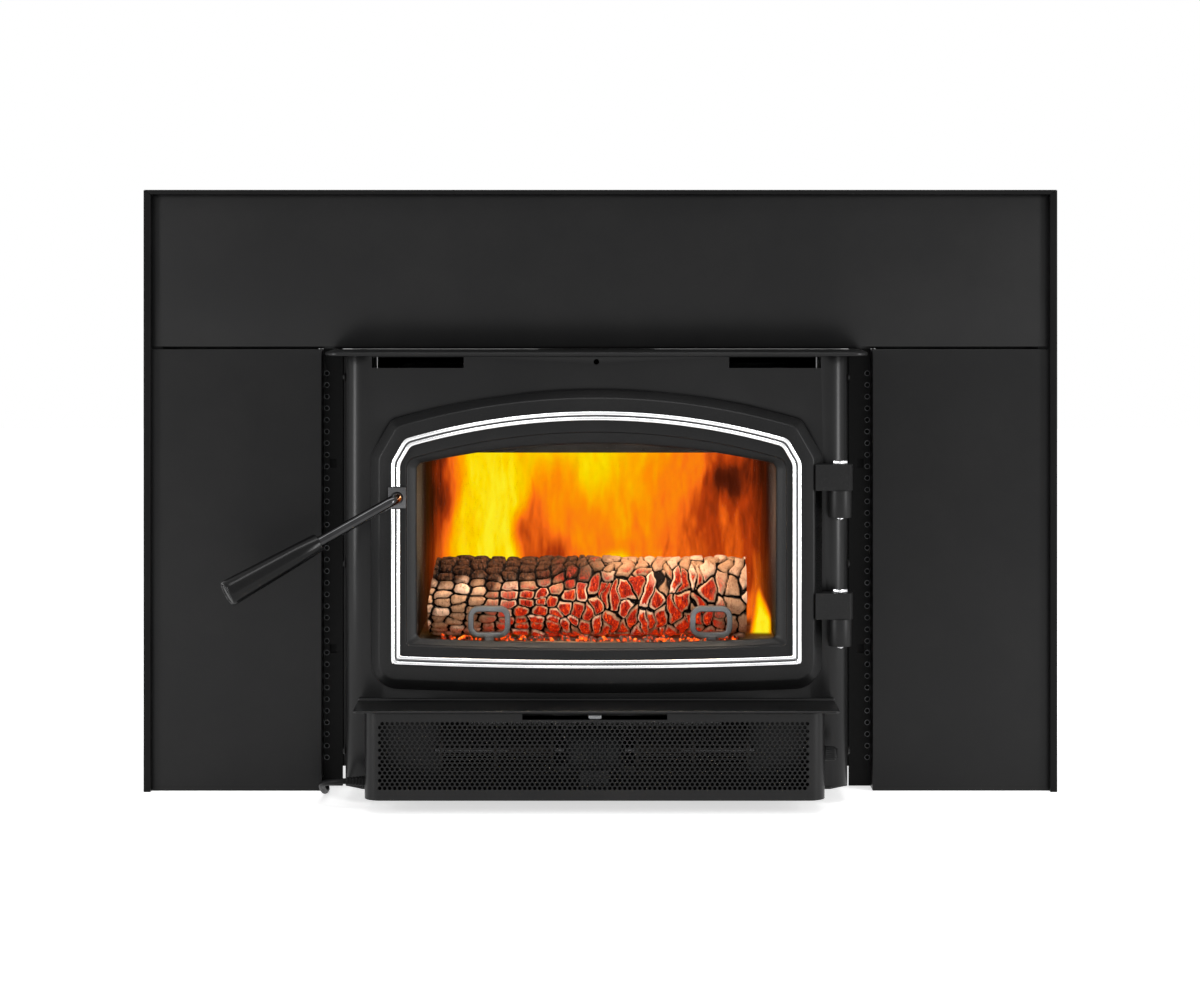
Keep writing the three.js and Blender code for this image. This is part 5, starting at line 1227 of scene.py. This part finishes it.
def millimetres(corner):
    return (corner[0] * 1000, corner[1] * 1000 - backShift, corner[2] * 1000)


for nodeName, counts in (("hearth_bricks", (4, 2, 1)), ("back_bricks", (4, 1, 1)),
        ("left_bricks", (1, 3, 1)), ("right_bricks", (1, 3, 1))):
    low, high = (millimetres(corner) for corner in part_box(nodeName))
    layBricks(nodeName + "_laid", low, high, counts, (nodeName,), len(nodeName))
print("bricks laid")

# secondary-air tubes: one model with its two rows of jets, copied to the three places
tubeShape = {"outer": 12, "inner": 9.5, "jets": 19, "jetRadius": 1.7}
low, high = (millimetres(corner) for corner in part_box("air_tube_front"))
tubeMiddle = ((low[1] + high[1]) / 2, (low[2] + high[2]) / 2)
tubeModel = turned("air_tube", [
    (0, tubeShape["inner"]), (0, tubeShape["outer"] - 0.4), (0.4, tubeShape["outer"]),
    (high[0] - low[0] - 0.4, tubeShape["outer"]),
    (high[0] - low[0], tubeShape["outer"] - 0.4), (high[0] - low[0], tubeShape["inner"])],
    (low[0], *tubeMiddle), (1, 0, 0), 40, True)
jets = []
for i in range(tubeShape["jets"]):
    x = low[0] + 25 + (high[0] - low[0] - 50) * i / (tubeShape["jets"] - 1)
    for lean in (-0.45, 0.35):
        down = Vector((0, math.sin(lean), -math.cos(lean)))
        middle = Vector((x, *tubeMiddle))
        jets.append(addRod("jet", middle + down * 7, middle + down * 14, tubeShape["jetRadius"], sides=10))
carved(tubeModel, *jets)
for nodeName in ("air_tube_front", "air_tube_middle", "air_tube_rear"):
    place = (millimetres(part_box(nodeName)[0])[1] + millimetres(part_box(nodeName)[1])[1]) / 2
    tube = copied(tubeModel, nodeName + "_drilled", (0, place - tubeMiddle[0], 0))
    finishPiece(tube, scaledPlate, "insert", (nodeName,))
bpy.data.objects.remove(tubeModel)
print("air tubes drilled")

# andirons: flat bar bent into a loop on a short foot
andironShape = {"width": 51, "height": 38, "bar": 6.6, "depth": 12, "corner": 13, "stem": 12,
    "middles": {"left": -134.5, "right": 134}}
andironFront = millimetres(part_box("andiron_left")[0])[1]
andironLow = millimetres(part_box("andiron_left")[0])[2]


def makeAndiron(name, middle):
    shape = andironShape
    deselectAll()
    bpy.ops.mesh.primitive_plane_add(size=1, rotation=(math.pi / 2, 0, 0))
    loop = named(name)
    loop.scale = (shape["width"] / 1000, shape["height"] / 1000, 1)
    loop.location = mm(middle, andironFront + shape["depth"], andironLow + 6.7 + shape["height"] / 2)
    settle(loop)
    bpy.ops.object.mode_set(mode="EDIT")
    bpy.ops.mesh.select_all(action="SELECT")
    bpy.ops.mesh.bevel(offset=shape["corner"] / 1000, segments=8, affect="VERTICES")
    bpy.ops.mesh.select_mode(type="FACE")
    bpy.ops.mesh.select_all(action="SELECT")
    bpy.ops.mesh.inset(thickness=shape["bar"] / 1000)
    bpy.ops.mesh.delete(type="FACE")
    bpy.ops.mesh.select_all(action="SELECT")
    bpy.ops.mesh.extrude_region_move(TRANSFORM_OT_translate={"value": (0, -shape["depth"] / 1000, 0)})
    bpy.ops.object.mode_set(mode="OBJECT")
    recalculated(loop)
    foot = addBlock("foot", (middle - shape["stem"] / 2, andironFront, andironLow),
        (middle + shape["stem"] / 2, andironFront + shape["depth"], andironLow + 9))
    fused(loop, foot)
    return rounded(loop, 1.3, 3, 35)


for label, middle in andironShape["middles"].items():
    andiron = makeAndiron(f"andiron_{label}_bent", middle)
    finishPiece(andiron, greySteel, "insert", (f"andiron_{label}",))
print("andirons bent")

# the split log: a fat bar cracked into char blocks; crack, glow and bark are kept as attributes
logShape = {
    "left": -209, "right": 178, "middleY": 15, "middleZ": 237, "radius": 49.5, "along": 320, "around": 200,
    "crackDepth": 4.5, "columnWidth": 20, "leftHeight": 12, "rightHeight": 30, "squareness": (3.2, 2.0),
}


def blended(low, high, value):
    t = min(max((value - low) / (high - low), 0), 1)
    return t * t * (3 - 2 * t)


# how far the nearest block's edge is, in columns of blocks, and the block's tone
def charCell(x, y, jitter, power):
    found = []
    column = math.floor(x)
    for i in (column - 1, column, column + 1):
        lift = noise.cell(Vector((i, 0.5, 3.5)))
        row = math.floor(y - lift)
        for j in (row - 1, row, row + 1):
            key = Vector((i + 0.5, j + 0.5, 7.5))
            px = i + 0.5 + jitter * (noise.cell(key) - 0.5)
            py = lift + j + 0.5 + jitter * (noise.cell(key + Vector((0, 0, 9))) - 0.5)
            dx, dy = abs(x - px), abs(y - py)
            found.append(((dx ** power + dy ** power) ** (1 / power), px, py,
                noise.cell(key + Vector((0, 0, 4)))))
    found.sort()
    near, other = found[:2]
    return (other[0] - near[0]) / max(0.3, math.hypot(other[1] - near[1], other[2] - near[2])), near[3]


def makeLog(name):
    shape = logShape
    deselectAll()
    bpy.ops.mesh.primitive_cylinder_add(vertices=shape["around"], radius=1, depth=1, end_fill_type="TRIFAN",
        rotation=(0, math.pi / 2, 0))
    log = named(name)
    settle(log)
    bpy.ops.object.mode_set(mode="EDIT")
    bpy.ops.mesh.select_mode(type="EDGE")
    bpy.ops.mesh.select_all(action="DESELECT")
    bpy.ops.object.mode_set(mode="OBJECT")
    for edge in log.data.edges:
        a, b = (log.data.vertices[v].co for v in edge.vertices)
        edge.select = abs(a.x - b.x) > 0.5
    bpy.ops.object.mode_set(mode="EDIT")
    bpy.ops.mesh.subdivide_edgering(number_cuts=shape["along"])
    bpy.ops.mesh.select_all(action="SELECT")
    bpy.ops.mesh.normals_make_consistent(inside=False)
    bpy.ops.object.mode_set(mode="OBJECT")
    length = shape["right"] - shape["left"]
    values = {"crack": [], "glow": [], "bark": [], "tone": [], "rim": []}
    for vertex in log.data.vertices:
        share = vertex.co.x + 0.5
        angle = math.atan2(vertex.co.z, -vertex.co.y)  # 0 faces the room, upwards is positive
        out = math.hypot(vertex.co.y, vertex.co.z)
        x = shape["left"] + length * share
        around = angle * shape["radius"]
        toRight = blended(0.32, 0.6, share + 0.08 * noise.noise(Vector((around / 30, 1.7, 0))))
        tall = shape["leftHeight"] * (1 - toRight) + shape["rightHeight"] * toRight
        sway = 2.4 + 2.6 * toRight
        bentX = (x + sway * noise.noise(Vector((x / 16, around / 15, 3)))
            + 7 * toRight * noise.noise(Vector((x / 60, around / 30, 4))))
        bentY = around + sway * noise.noise(Vector((x / 13, around / 14, 9)))
        if out > 0.9:
            columns = bentX / shape["columnWidth"] + 5 * blended(-80, 190, bentX)
            power = shape["squareness"][0] * (1 - toRight) + shape["squareness"][1] * toRight
            gap, tone = charCell(columns, bentY / tall, 0.22 + 0.4 * toRight, power)
        else:
            gap, tone = charCell(vertex.co.y * 4, vertex.co.z * 5, 0.6, 2)
        crack = 1 - blended(0.06, 0.24 - 0.08 * toRight, gap)
        rim = 1 - blended(0.2, 0.36, gap)
        grain = (noise.noise(Vector((x / 3.2, around / 14, 5))) * 0.5
            + noise.noise(Vector((x / 1.6, around / 5, 8))) * 0.25)
        swell = 1 + 0.04 * noise.noise(Vector((x / 60, around / 70, 2)))
        bulge = 1.2 * blended(0.1, 0.7, gap)
        radius = (shape["radius"] * swell - shape["crackDepth"] * crack
            + 0.7 * grain + 1.4 * (tone - 0.5) + bulge - 1)
        radius = min(radius, shape["radius"] + 1)
        slant = min(max(vertex.co.z, -1), 1) * 8 * (1 - share)
        endDent = (1.5 * noise.noise(Vector((vertex.co.y * 5, vertex.co.z * 5, 1)))
            - 2.5 * crack if out < 0.98 else 0)
        step = endDent if share > 0.5 else -endDent
        place = min(max(x + slant + step, shape["left"] - 1), shape["right"] + 1)
        vertex.co = mm(place, shape["middleY"] + radius * vertex.co.y,
            max(shape["middleZ"] + radius * vertex.co.z, 187.7))
        low = blended(1.2, -0.2, angle)
        drift = noise.noise(Vector((x / 26, around / 22, 14)))
        glow = blended(0.3, 0.5, share) * blended(0.0, 0.5, low + 0.5 * drift)
        glow = max(glow, blended(0.45, 0.8, low + 0.2 * drift) * blended(0.12, 0.3, share))
        glow *= 1 - 0.9 * blended(0.88, 0.95, share + 0.03 * drift)
        bark = blended(0.2, 0.62, angle + 0.4 * noise.noise(Vector((x / 16, 0,
            6)))) * (1 - 0.7 * blended(0.45, 0.66, share))
        if out < 0.9:
            glow, bark = 0.0, 0.35
        for label, number in (("crack", crack), ("glow", glow), ("bark", bark), ("tone", tone), ("rim", rim)):
            values[label].append(number)
    for label, numbers in values.items():
        layer = log.data.attributes.new(label, "FLOAT", "POINT")
        layer.data.foreach_set("value", numbers)
    return log


charLook = {
    "tan": (0.6, 0.33, 0.18), "peach": (0.95, 0.6, 0.4), "dark": (0.14, 0.045, 0.018),
    "black": (0.006, 0.003, 0.002),
    "deep": (0.06, 0.004, 0.001), "ember": (0.5, 0.018, 0.002), "hot": (0.9, 0.1, 0.006),
}
charredLog, charTree, charShader, charWhere = newFinish("charred_log",
    {"Roughness": 0.9, "Specular IOR Level": 0.15, "Emission Strength": 1.0})
crackValue, glowValue, barkValue, toneValue, rimValue = (attributeNode(charTree,
    label).outputs["Fac"] for label in ("crack", "glow", "bark", "tone", "rim"))
fibre = noiseNode(charTree, stretched(charTree, charWhere, (420, 420, 90)), 1.0, 4, 0.65)
flakes = noiseNode(charTree, charWhere, 260, 4, 0.7, 0.6)
tanTone = mixColour(charTree, spreadNode(charTree, toneValue, 0.1, 0.9, 0, 1), charLook["tan"],
    charLook["peach"])
scorched = mixColour(charTree, spreadNode(charTree, flakes, 0.52, 0.7, 0, 0.7), tanTone, charLook["dark"])
lined = mixColour(charTree, spreadNode(charTree, fibre, 0.52, 0.7, 0, 0.6), scorched, charLook["dark"])
barked = mixColour(charTree, barkValue, lined,
    mixColour(charTree, spreadNode(charTree, fibre, 0.4, 0.6, 0, 1), (0.008, 0.004, 0.002),
    (0.09, 0.032, 0.013)))
heart = mathNode(charTree, "MULTIPLY", glowValue, spreadNode(charTree, rimValue, 0.15, 0.85, 1, 0.0), True)
glowing = mixColour(charTree, heart, barked, charLook["deep"])
wire(charTree, mixColour(charTree, spreadNode(charTree, crackValue, 0.35, 0.75, 0, 1), glowing,
    charLook["black"]), charShader.inputs["Base Color"])
fire = mathNode(charTree, "MULTIPLY", heart, spreadNode(charTree, fibre, 0.38, 0.62, 0.2, 1), True)
wire(charTree, rampNode(charTree, fire, [
    (0.0, (0, 0, 0)), (0.2, (0.07, 0.002, 0.0)), (0.5, (0.4, 0.01, 0.002)), (0.8, charLook["ember"]),
    (1.0, charLook["hot"])]), charShader.inputs["Emission Color"])
bumped(charTree, charShader, mathNode(charTree, "ADD", fibre, flakes), 0.0012, 0.7)

firewood = makeLog("firewood_log_charred")
finishPiece(firewood, charredLog, "insert", ("firewood_log",), 60)
print("log charred")

# embers along the foot of the log: one coal shape, turned and scaled for each place
emberCoal, coalTree, coalShader, coalWhere = newFinish("ember_coal",
    {"Roughness": 0.95, "Emission Strength": 2.2})
coalNoise = noiseNode(coalTree, coalWhere, 170, 3, 0.6)
wire(coalTree, mixColour(coalTree, spreadNode(coalTree, coalNoise, 0.4, 0.6, 0, 1), (0.012, 0.006, 0.004),
    (0.08, 0.06, 0.05)), coalShader.inputs["Base Color"])
wire(coalTree, rampNode(coalTree, coalNoise, [(0.28, (1.0, 0.3, 0.02)), (0.4, (0.9, 0.09, 0.005)), (0.48,
    (0.2, 0.01, 0.0)), (0.55, (0, 0, 0))]), coalShader.inputs["Emission Color"])
bumped(coalTree, coalShader, coalNoise, 0.002)
coals = []
for i in range(64):
    spin = (math.sin(i * 2.4), math.cos(i * 3.7), math.sin(i * 5.1))
    x = -196 + 366 * ((i * 0.618) % 1)
    y = -38 + 26 * ((i * 0.377) % 1)
    size = 2.2 + 2.2 * ((i * 0.731) % 1)
    deselectAll()
    bpy.ops.mesh.primitive_ico_sphere_add(subdivisions=2, radius=size / 1000,
        location=mm(x, y, 187.5 + size * 0.62), rotation=spin)
    coal = named("coal")
    coal.scale = (1.35, 0.9, 0.7)
    settle(coal)
    coals.append(coal)
emberBed = joined("ember_bed", coals)
for vertex in emberBed.data.vertices:
    push = noise.noise(vertex.co * 260) * 1.3 / 1000
    vertex.co += vertex.normal * push
    vertex.co.z = max(vertex.co.z, 0.1875)
finishPiece(emberBed, emberCoal, "insert", (), 30)
print("embers laid")


# flames: curved sheets whose heat is blended between the glows below and kept as an attribute
flameGlows = [  # x, z, reach across, reach upwards, heat there
    (-214, 320, 13, 120, 0.14), (-200, 250, 14, 70, 0.42), (-190, 395, 16, 40, 0.5), (-168, 290, 24, 90, 0.9),
    (-142, 385, 32, 70, 0.97), (-132, 260, 26, 60, 0.95), (-95, 404, 28, 30, 0.84), (-86, 305, 18, 32, 0.38),
    (-62, 268, 24, 22, 0.3), (-48, 350, 24, 34, 0.6), (-10, 404, 40, 34, 0.9), (-18, 300, 24, 30, 0.58),
    (4, 262, 22, 12, 0.95), (35, 350, 28, 40, 0.72), (62, 404, 30, 26, 0.7), (60, 300, 28, 36, 0.52),
    (95, 345, 24, 44, 0.56), (112, 402, 22, 26, 0.52), (125, 295, 28, 30, 0.34), (150, 402, 20, 18, 0.34),
    (166, 372, 24, 20, 0.08), (140, 338, 22, 22, 0.28), (165, 300, 24, 28, 0.38), (195, 330, 18, 46, 0.26),
    (208, 400, 14, 36, 0.14), (205, 240, 12, 40, 0.45),
]


def heatAt(x, z, seed, glows):
    sway = 16 * noise.noise(Vector((x / 55, z / 80, seed))) + 7 * noise.noise(Vector((x / 20, z / 36,
        seed + 4)))
    lift = 16 * noise.noise(Vector((x / 34, z / 60, seed + 8)))
    px, pz = x + sway, z + lift
    total, weights = 0, 1e-6
    for middleX, middleZ, wide, tall, heat in glows:
        weight = math.exp(-(((px - middleX) / wide) ** 2) - ((pz - middleZ) / tall) ** 2)
        total += weight * heat
        weights += weight
    lick = noise.noise(Vector((px / 11, pz / 70, seed + 12))) * 0.6 + noise.noise(Vector((px / 5, pz / 34,
        seed + 16))) * 0.4
    return total / weights + 0.13 * lick


def flameSheet(name, look):
    left, right, low, high = look["span"]
    deselectAll()
    bpy.ops.mesh.primitive_grid_add(x_subdivisions=look["columns"], y_subdivisions=look["rows"], size=2,
        rotation=(math.pi / 2, 0, 0))
    sheet = named(name)
    settle(sheet)
    heats, covers = [], []
    for vertex in sheet.data.vertices:
        u, v = (vertex.co.x + 1) / 2, (vertex.co.z + 1) / 2
        x, z = left + (right - left) * u, low + (high - low) * v
        y = look["y"] + look[
            "bulge"] * (2 * u - 1) ** 24 + look["lean"] * v + 10 * noise.noise(Vector((x / 50, z / 50,
            look["seed"])))
        heat = heatAt(x, z, look["seed"], look["glows"])
        edge = min(blended(0, 0.06, u), blended(0, 0.06, 1 - u), blended(0, 0.05, v),
            blended(0, look["fade"], 1 - v))
        covers.append(edge * blended(look["thin"], look["thick"], heat))
        heats.append(max(0, min(1, heat)))
        vertex.co = mm(x, y, z)
    for label, numbers in (("burn", heats), ("cover", covers)):
        layer = sheet.data.attributes.new(label, "FLOAT", "POINT")
        layer.data.foreach_set("value", numbers)
    return sheet


flameGas, gasTree, gasShader, gasWhere = newFinish("flame_gas", {
    "Roughness": 1.0, "Specular IOR Level": 0.0, "Emission Strength": 1.0, "Base Color": (0, 0, 0, 1)})
gasHeat = attributeNode(gasTree, "burn").outputs["Fac"]
gasCover = attributeNode(gasTree, "cover").outputs["Fac"]
licks = noiseNode(gasTree, stretched(gasTree, gasWhere, (70, 70, 16)), 1.0, 3, 0.55, 0.5)
wisps = noiseNode(gasTree, stretched(gasTree, gasWhere, (240, 240, 60), (3, 1, 2)), 1.0, 2, 0.5, 0.4)
stirred = mathNode(gasTree, "ADD", gasHeat, spreadNode(gasTree, licks, 0.3, 0.7, -0.07, 0.07))
stirred = mathNode(gasTree, "ADD", stirred, spreadNode(gasTree, wisps, 0.3, 0.7, -0.02, 0.02), True)
wire(gasTree, rampNode(gasTree, stirred, [
    (0.0, (0.012, 0.002, 0.001)), (0.16, (0.1, 0.012, 0.003)), (0.32, (0.45, 0.045, 0.004)),
    (0.48, (0.95, 0.15, 0.008)),
    (0.63, (1.0, 0.27, 0.001)), (0.78, (1.0, 0.45, 0.0)), (0.92, (1.0, 0.72, 0.0)),
    (1.0, (1.0, 0.86, 0.02))]), gasShader.inputs["Emission Color"])
wire(gasTree, gasCover, gasShader.inputs["Alpha"])

flameSheets = {
    "flame_back": {"span": (-221, 212, 189, 424), "y": 118, "bulge": -150, "lean": 6, "columns": 220,
    "rows": 110, "seed": 3.0,
                   "thin": -0.9, "thick": -0.5, "fade": 0.01, "glows": flameGlows},
    "flame_middle": {"span": (-206, 200, 250, 421), "y": 72, "bulge": -8, "lean": 8, "columns": 160,
    "rows": 90, "seed": 11.0,
                     "thin": 0.72, "thick": 1.3, "fade": 0.02, "glows": flameGlows},
    "flame_right": {"span": (181, 211, 189, 262), "y": 20, "bulge": -6, "lean": 12, "columns": 24,
    "rows": 60, "seed": 31.0,
                    "thin": 0.3, "thick": 0.75, "fade": 0.3,
                    "glows": [(196, 214, 10, 26, 1.1), (184, 240, 8, 30, 0.1), (209, 240, 8, 30, 0.1),
                    (196, 262, 20, 14, 0.1)]},
}
for name, look in flameSheets.items():
    finishPiece(flameSheet(name, look), flameGas, "insert", (), 180)
print("fire lit")

# the fire's own light on the front of the log, from behind the deflector
hearthLight = bpy.data.lights.new("fire_light", "AREA")
hearthLight.shape = "RECTANGLE"
hearthLight.size, hearthLight.size_y = 0.36, 0.05
hearthLight.energy = 0.9
hearthLight.color = (1.0, 0.8, 0.6)
hearthLamp = bpy.data.objects.new("fire_light", hearthLight)
hearthLamp.location = mm(-10, -52, 396)
hearthLamp.rotation_euler = (mm(-10, -20, 236) - hearthLamp.location).to_track_quat("-Z", "Y").to_euler()
scene.collection.objects.link(hearthLamp)


cordCurve.materials.append(cordJacket)
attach(powerCord, "insert")
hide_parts("power_cord_lead", "power_cord_coil")


# pale floor and plain soft light
stageSettings = {"floorHalf": 7, "floorColour": (0.86, 0.86, 0.86), "lift": 0.62, "world": 0.55}


def rayMask(tree):
    path = tree.nodes.new("ShaderNodeLightPath")
    seen = mathNode(tree, "MAXIMUM", path.outputs["Is Camera Ray"], path.outputs["Is Glossy Ray"])
    return mathNode(tree, "MAXIMUM", seen, path.outputs["Is Transmission Ray"])


bpy.ops.mesh.primitive_plane_add(size=2 * stageSettings["floorHalf"], location=(0, 0, -0.0002))
floor = named("floor")
floorPaint = bpy.data.materials.new("pale_floor")
floorPaint.use_nodes = True
floorTree = floorPaint.node_tree
floorShader = floorTree.nodes["Principled BSDF"]
floorShader.inputs["Base Color"].default_value = (*stageSettings["floorColour"], 1)
floorShader.inputs["Roughness"].default_value = 0.9
floorShader.inputs["Specular IOR Level"].default_value = 0.1
floorShader.inputs["Emission Color"].default_value = (1, 1, 1, 1)
wire(floorTree, mathNode(floorTree, "MULTIPLY", rayMask(floorTree), stageSettings["lift"]),
    floorShader.inputs["Emission Strength"])
floor.data.materials.append(floorPaint)

world = bpy.data.worlds.new("studio")
world.use_nodes = True
scene.world = world
worldTree = world.node_tree
backLight = worldTree.nodes["Background"]
backLight.inputs["Color"].default_value = (1, 1, 1, 1)
wire(worldTree, spreadNode(worldTree, rayMask(worldTree), 0, 1, stageSettings["world"], 1),
    backLight.inputs["Strength"])


def softBox(name, place, target, width, height, power):
    light = bpy.data.lights.new(name, "AREA")
    light.shape = "RECTANGLE"
    light.size, light.size_y = width, height
    light.energy = power
    lamp = bpy.data.objects.new(name, light)
    lamp.location = place
    lamp.rotation_euler = (Vector(target) - Vector(place)).to_track_quat("-Z", "Y").to_euler()
    scene.collection.objects.link(lamp)


softBox("box_left", (-2.6, -1.8, 0.8), (0, 0, 0.6), 0.5, 1.55, 40)
softBox("box_right", (2.6, -1.7, 0.8), (0, 0, 0.6), 0.5, 1.55, 48)
softBox("box_top", (0.2, -0.9, 3.0), (0, 0, 0.2), 2.4, 0.6, 34)

scene.view_settings.view_transform = "Standard"
print("scene ready")
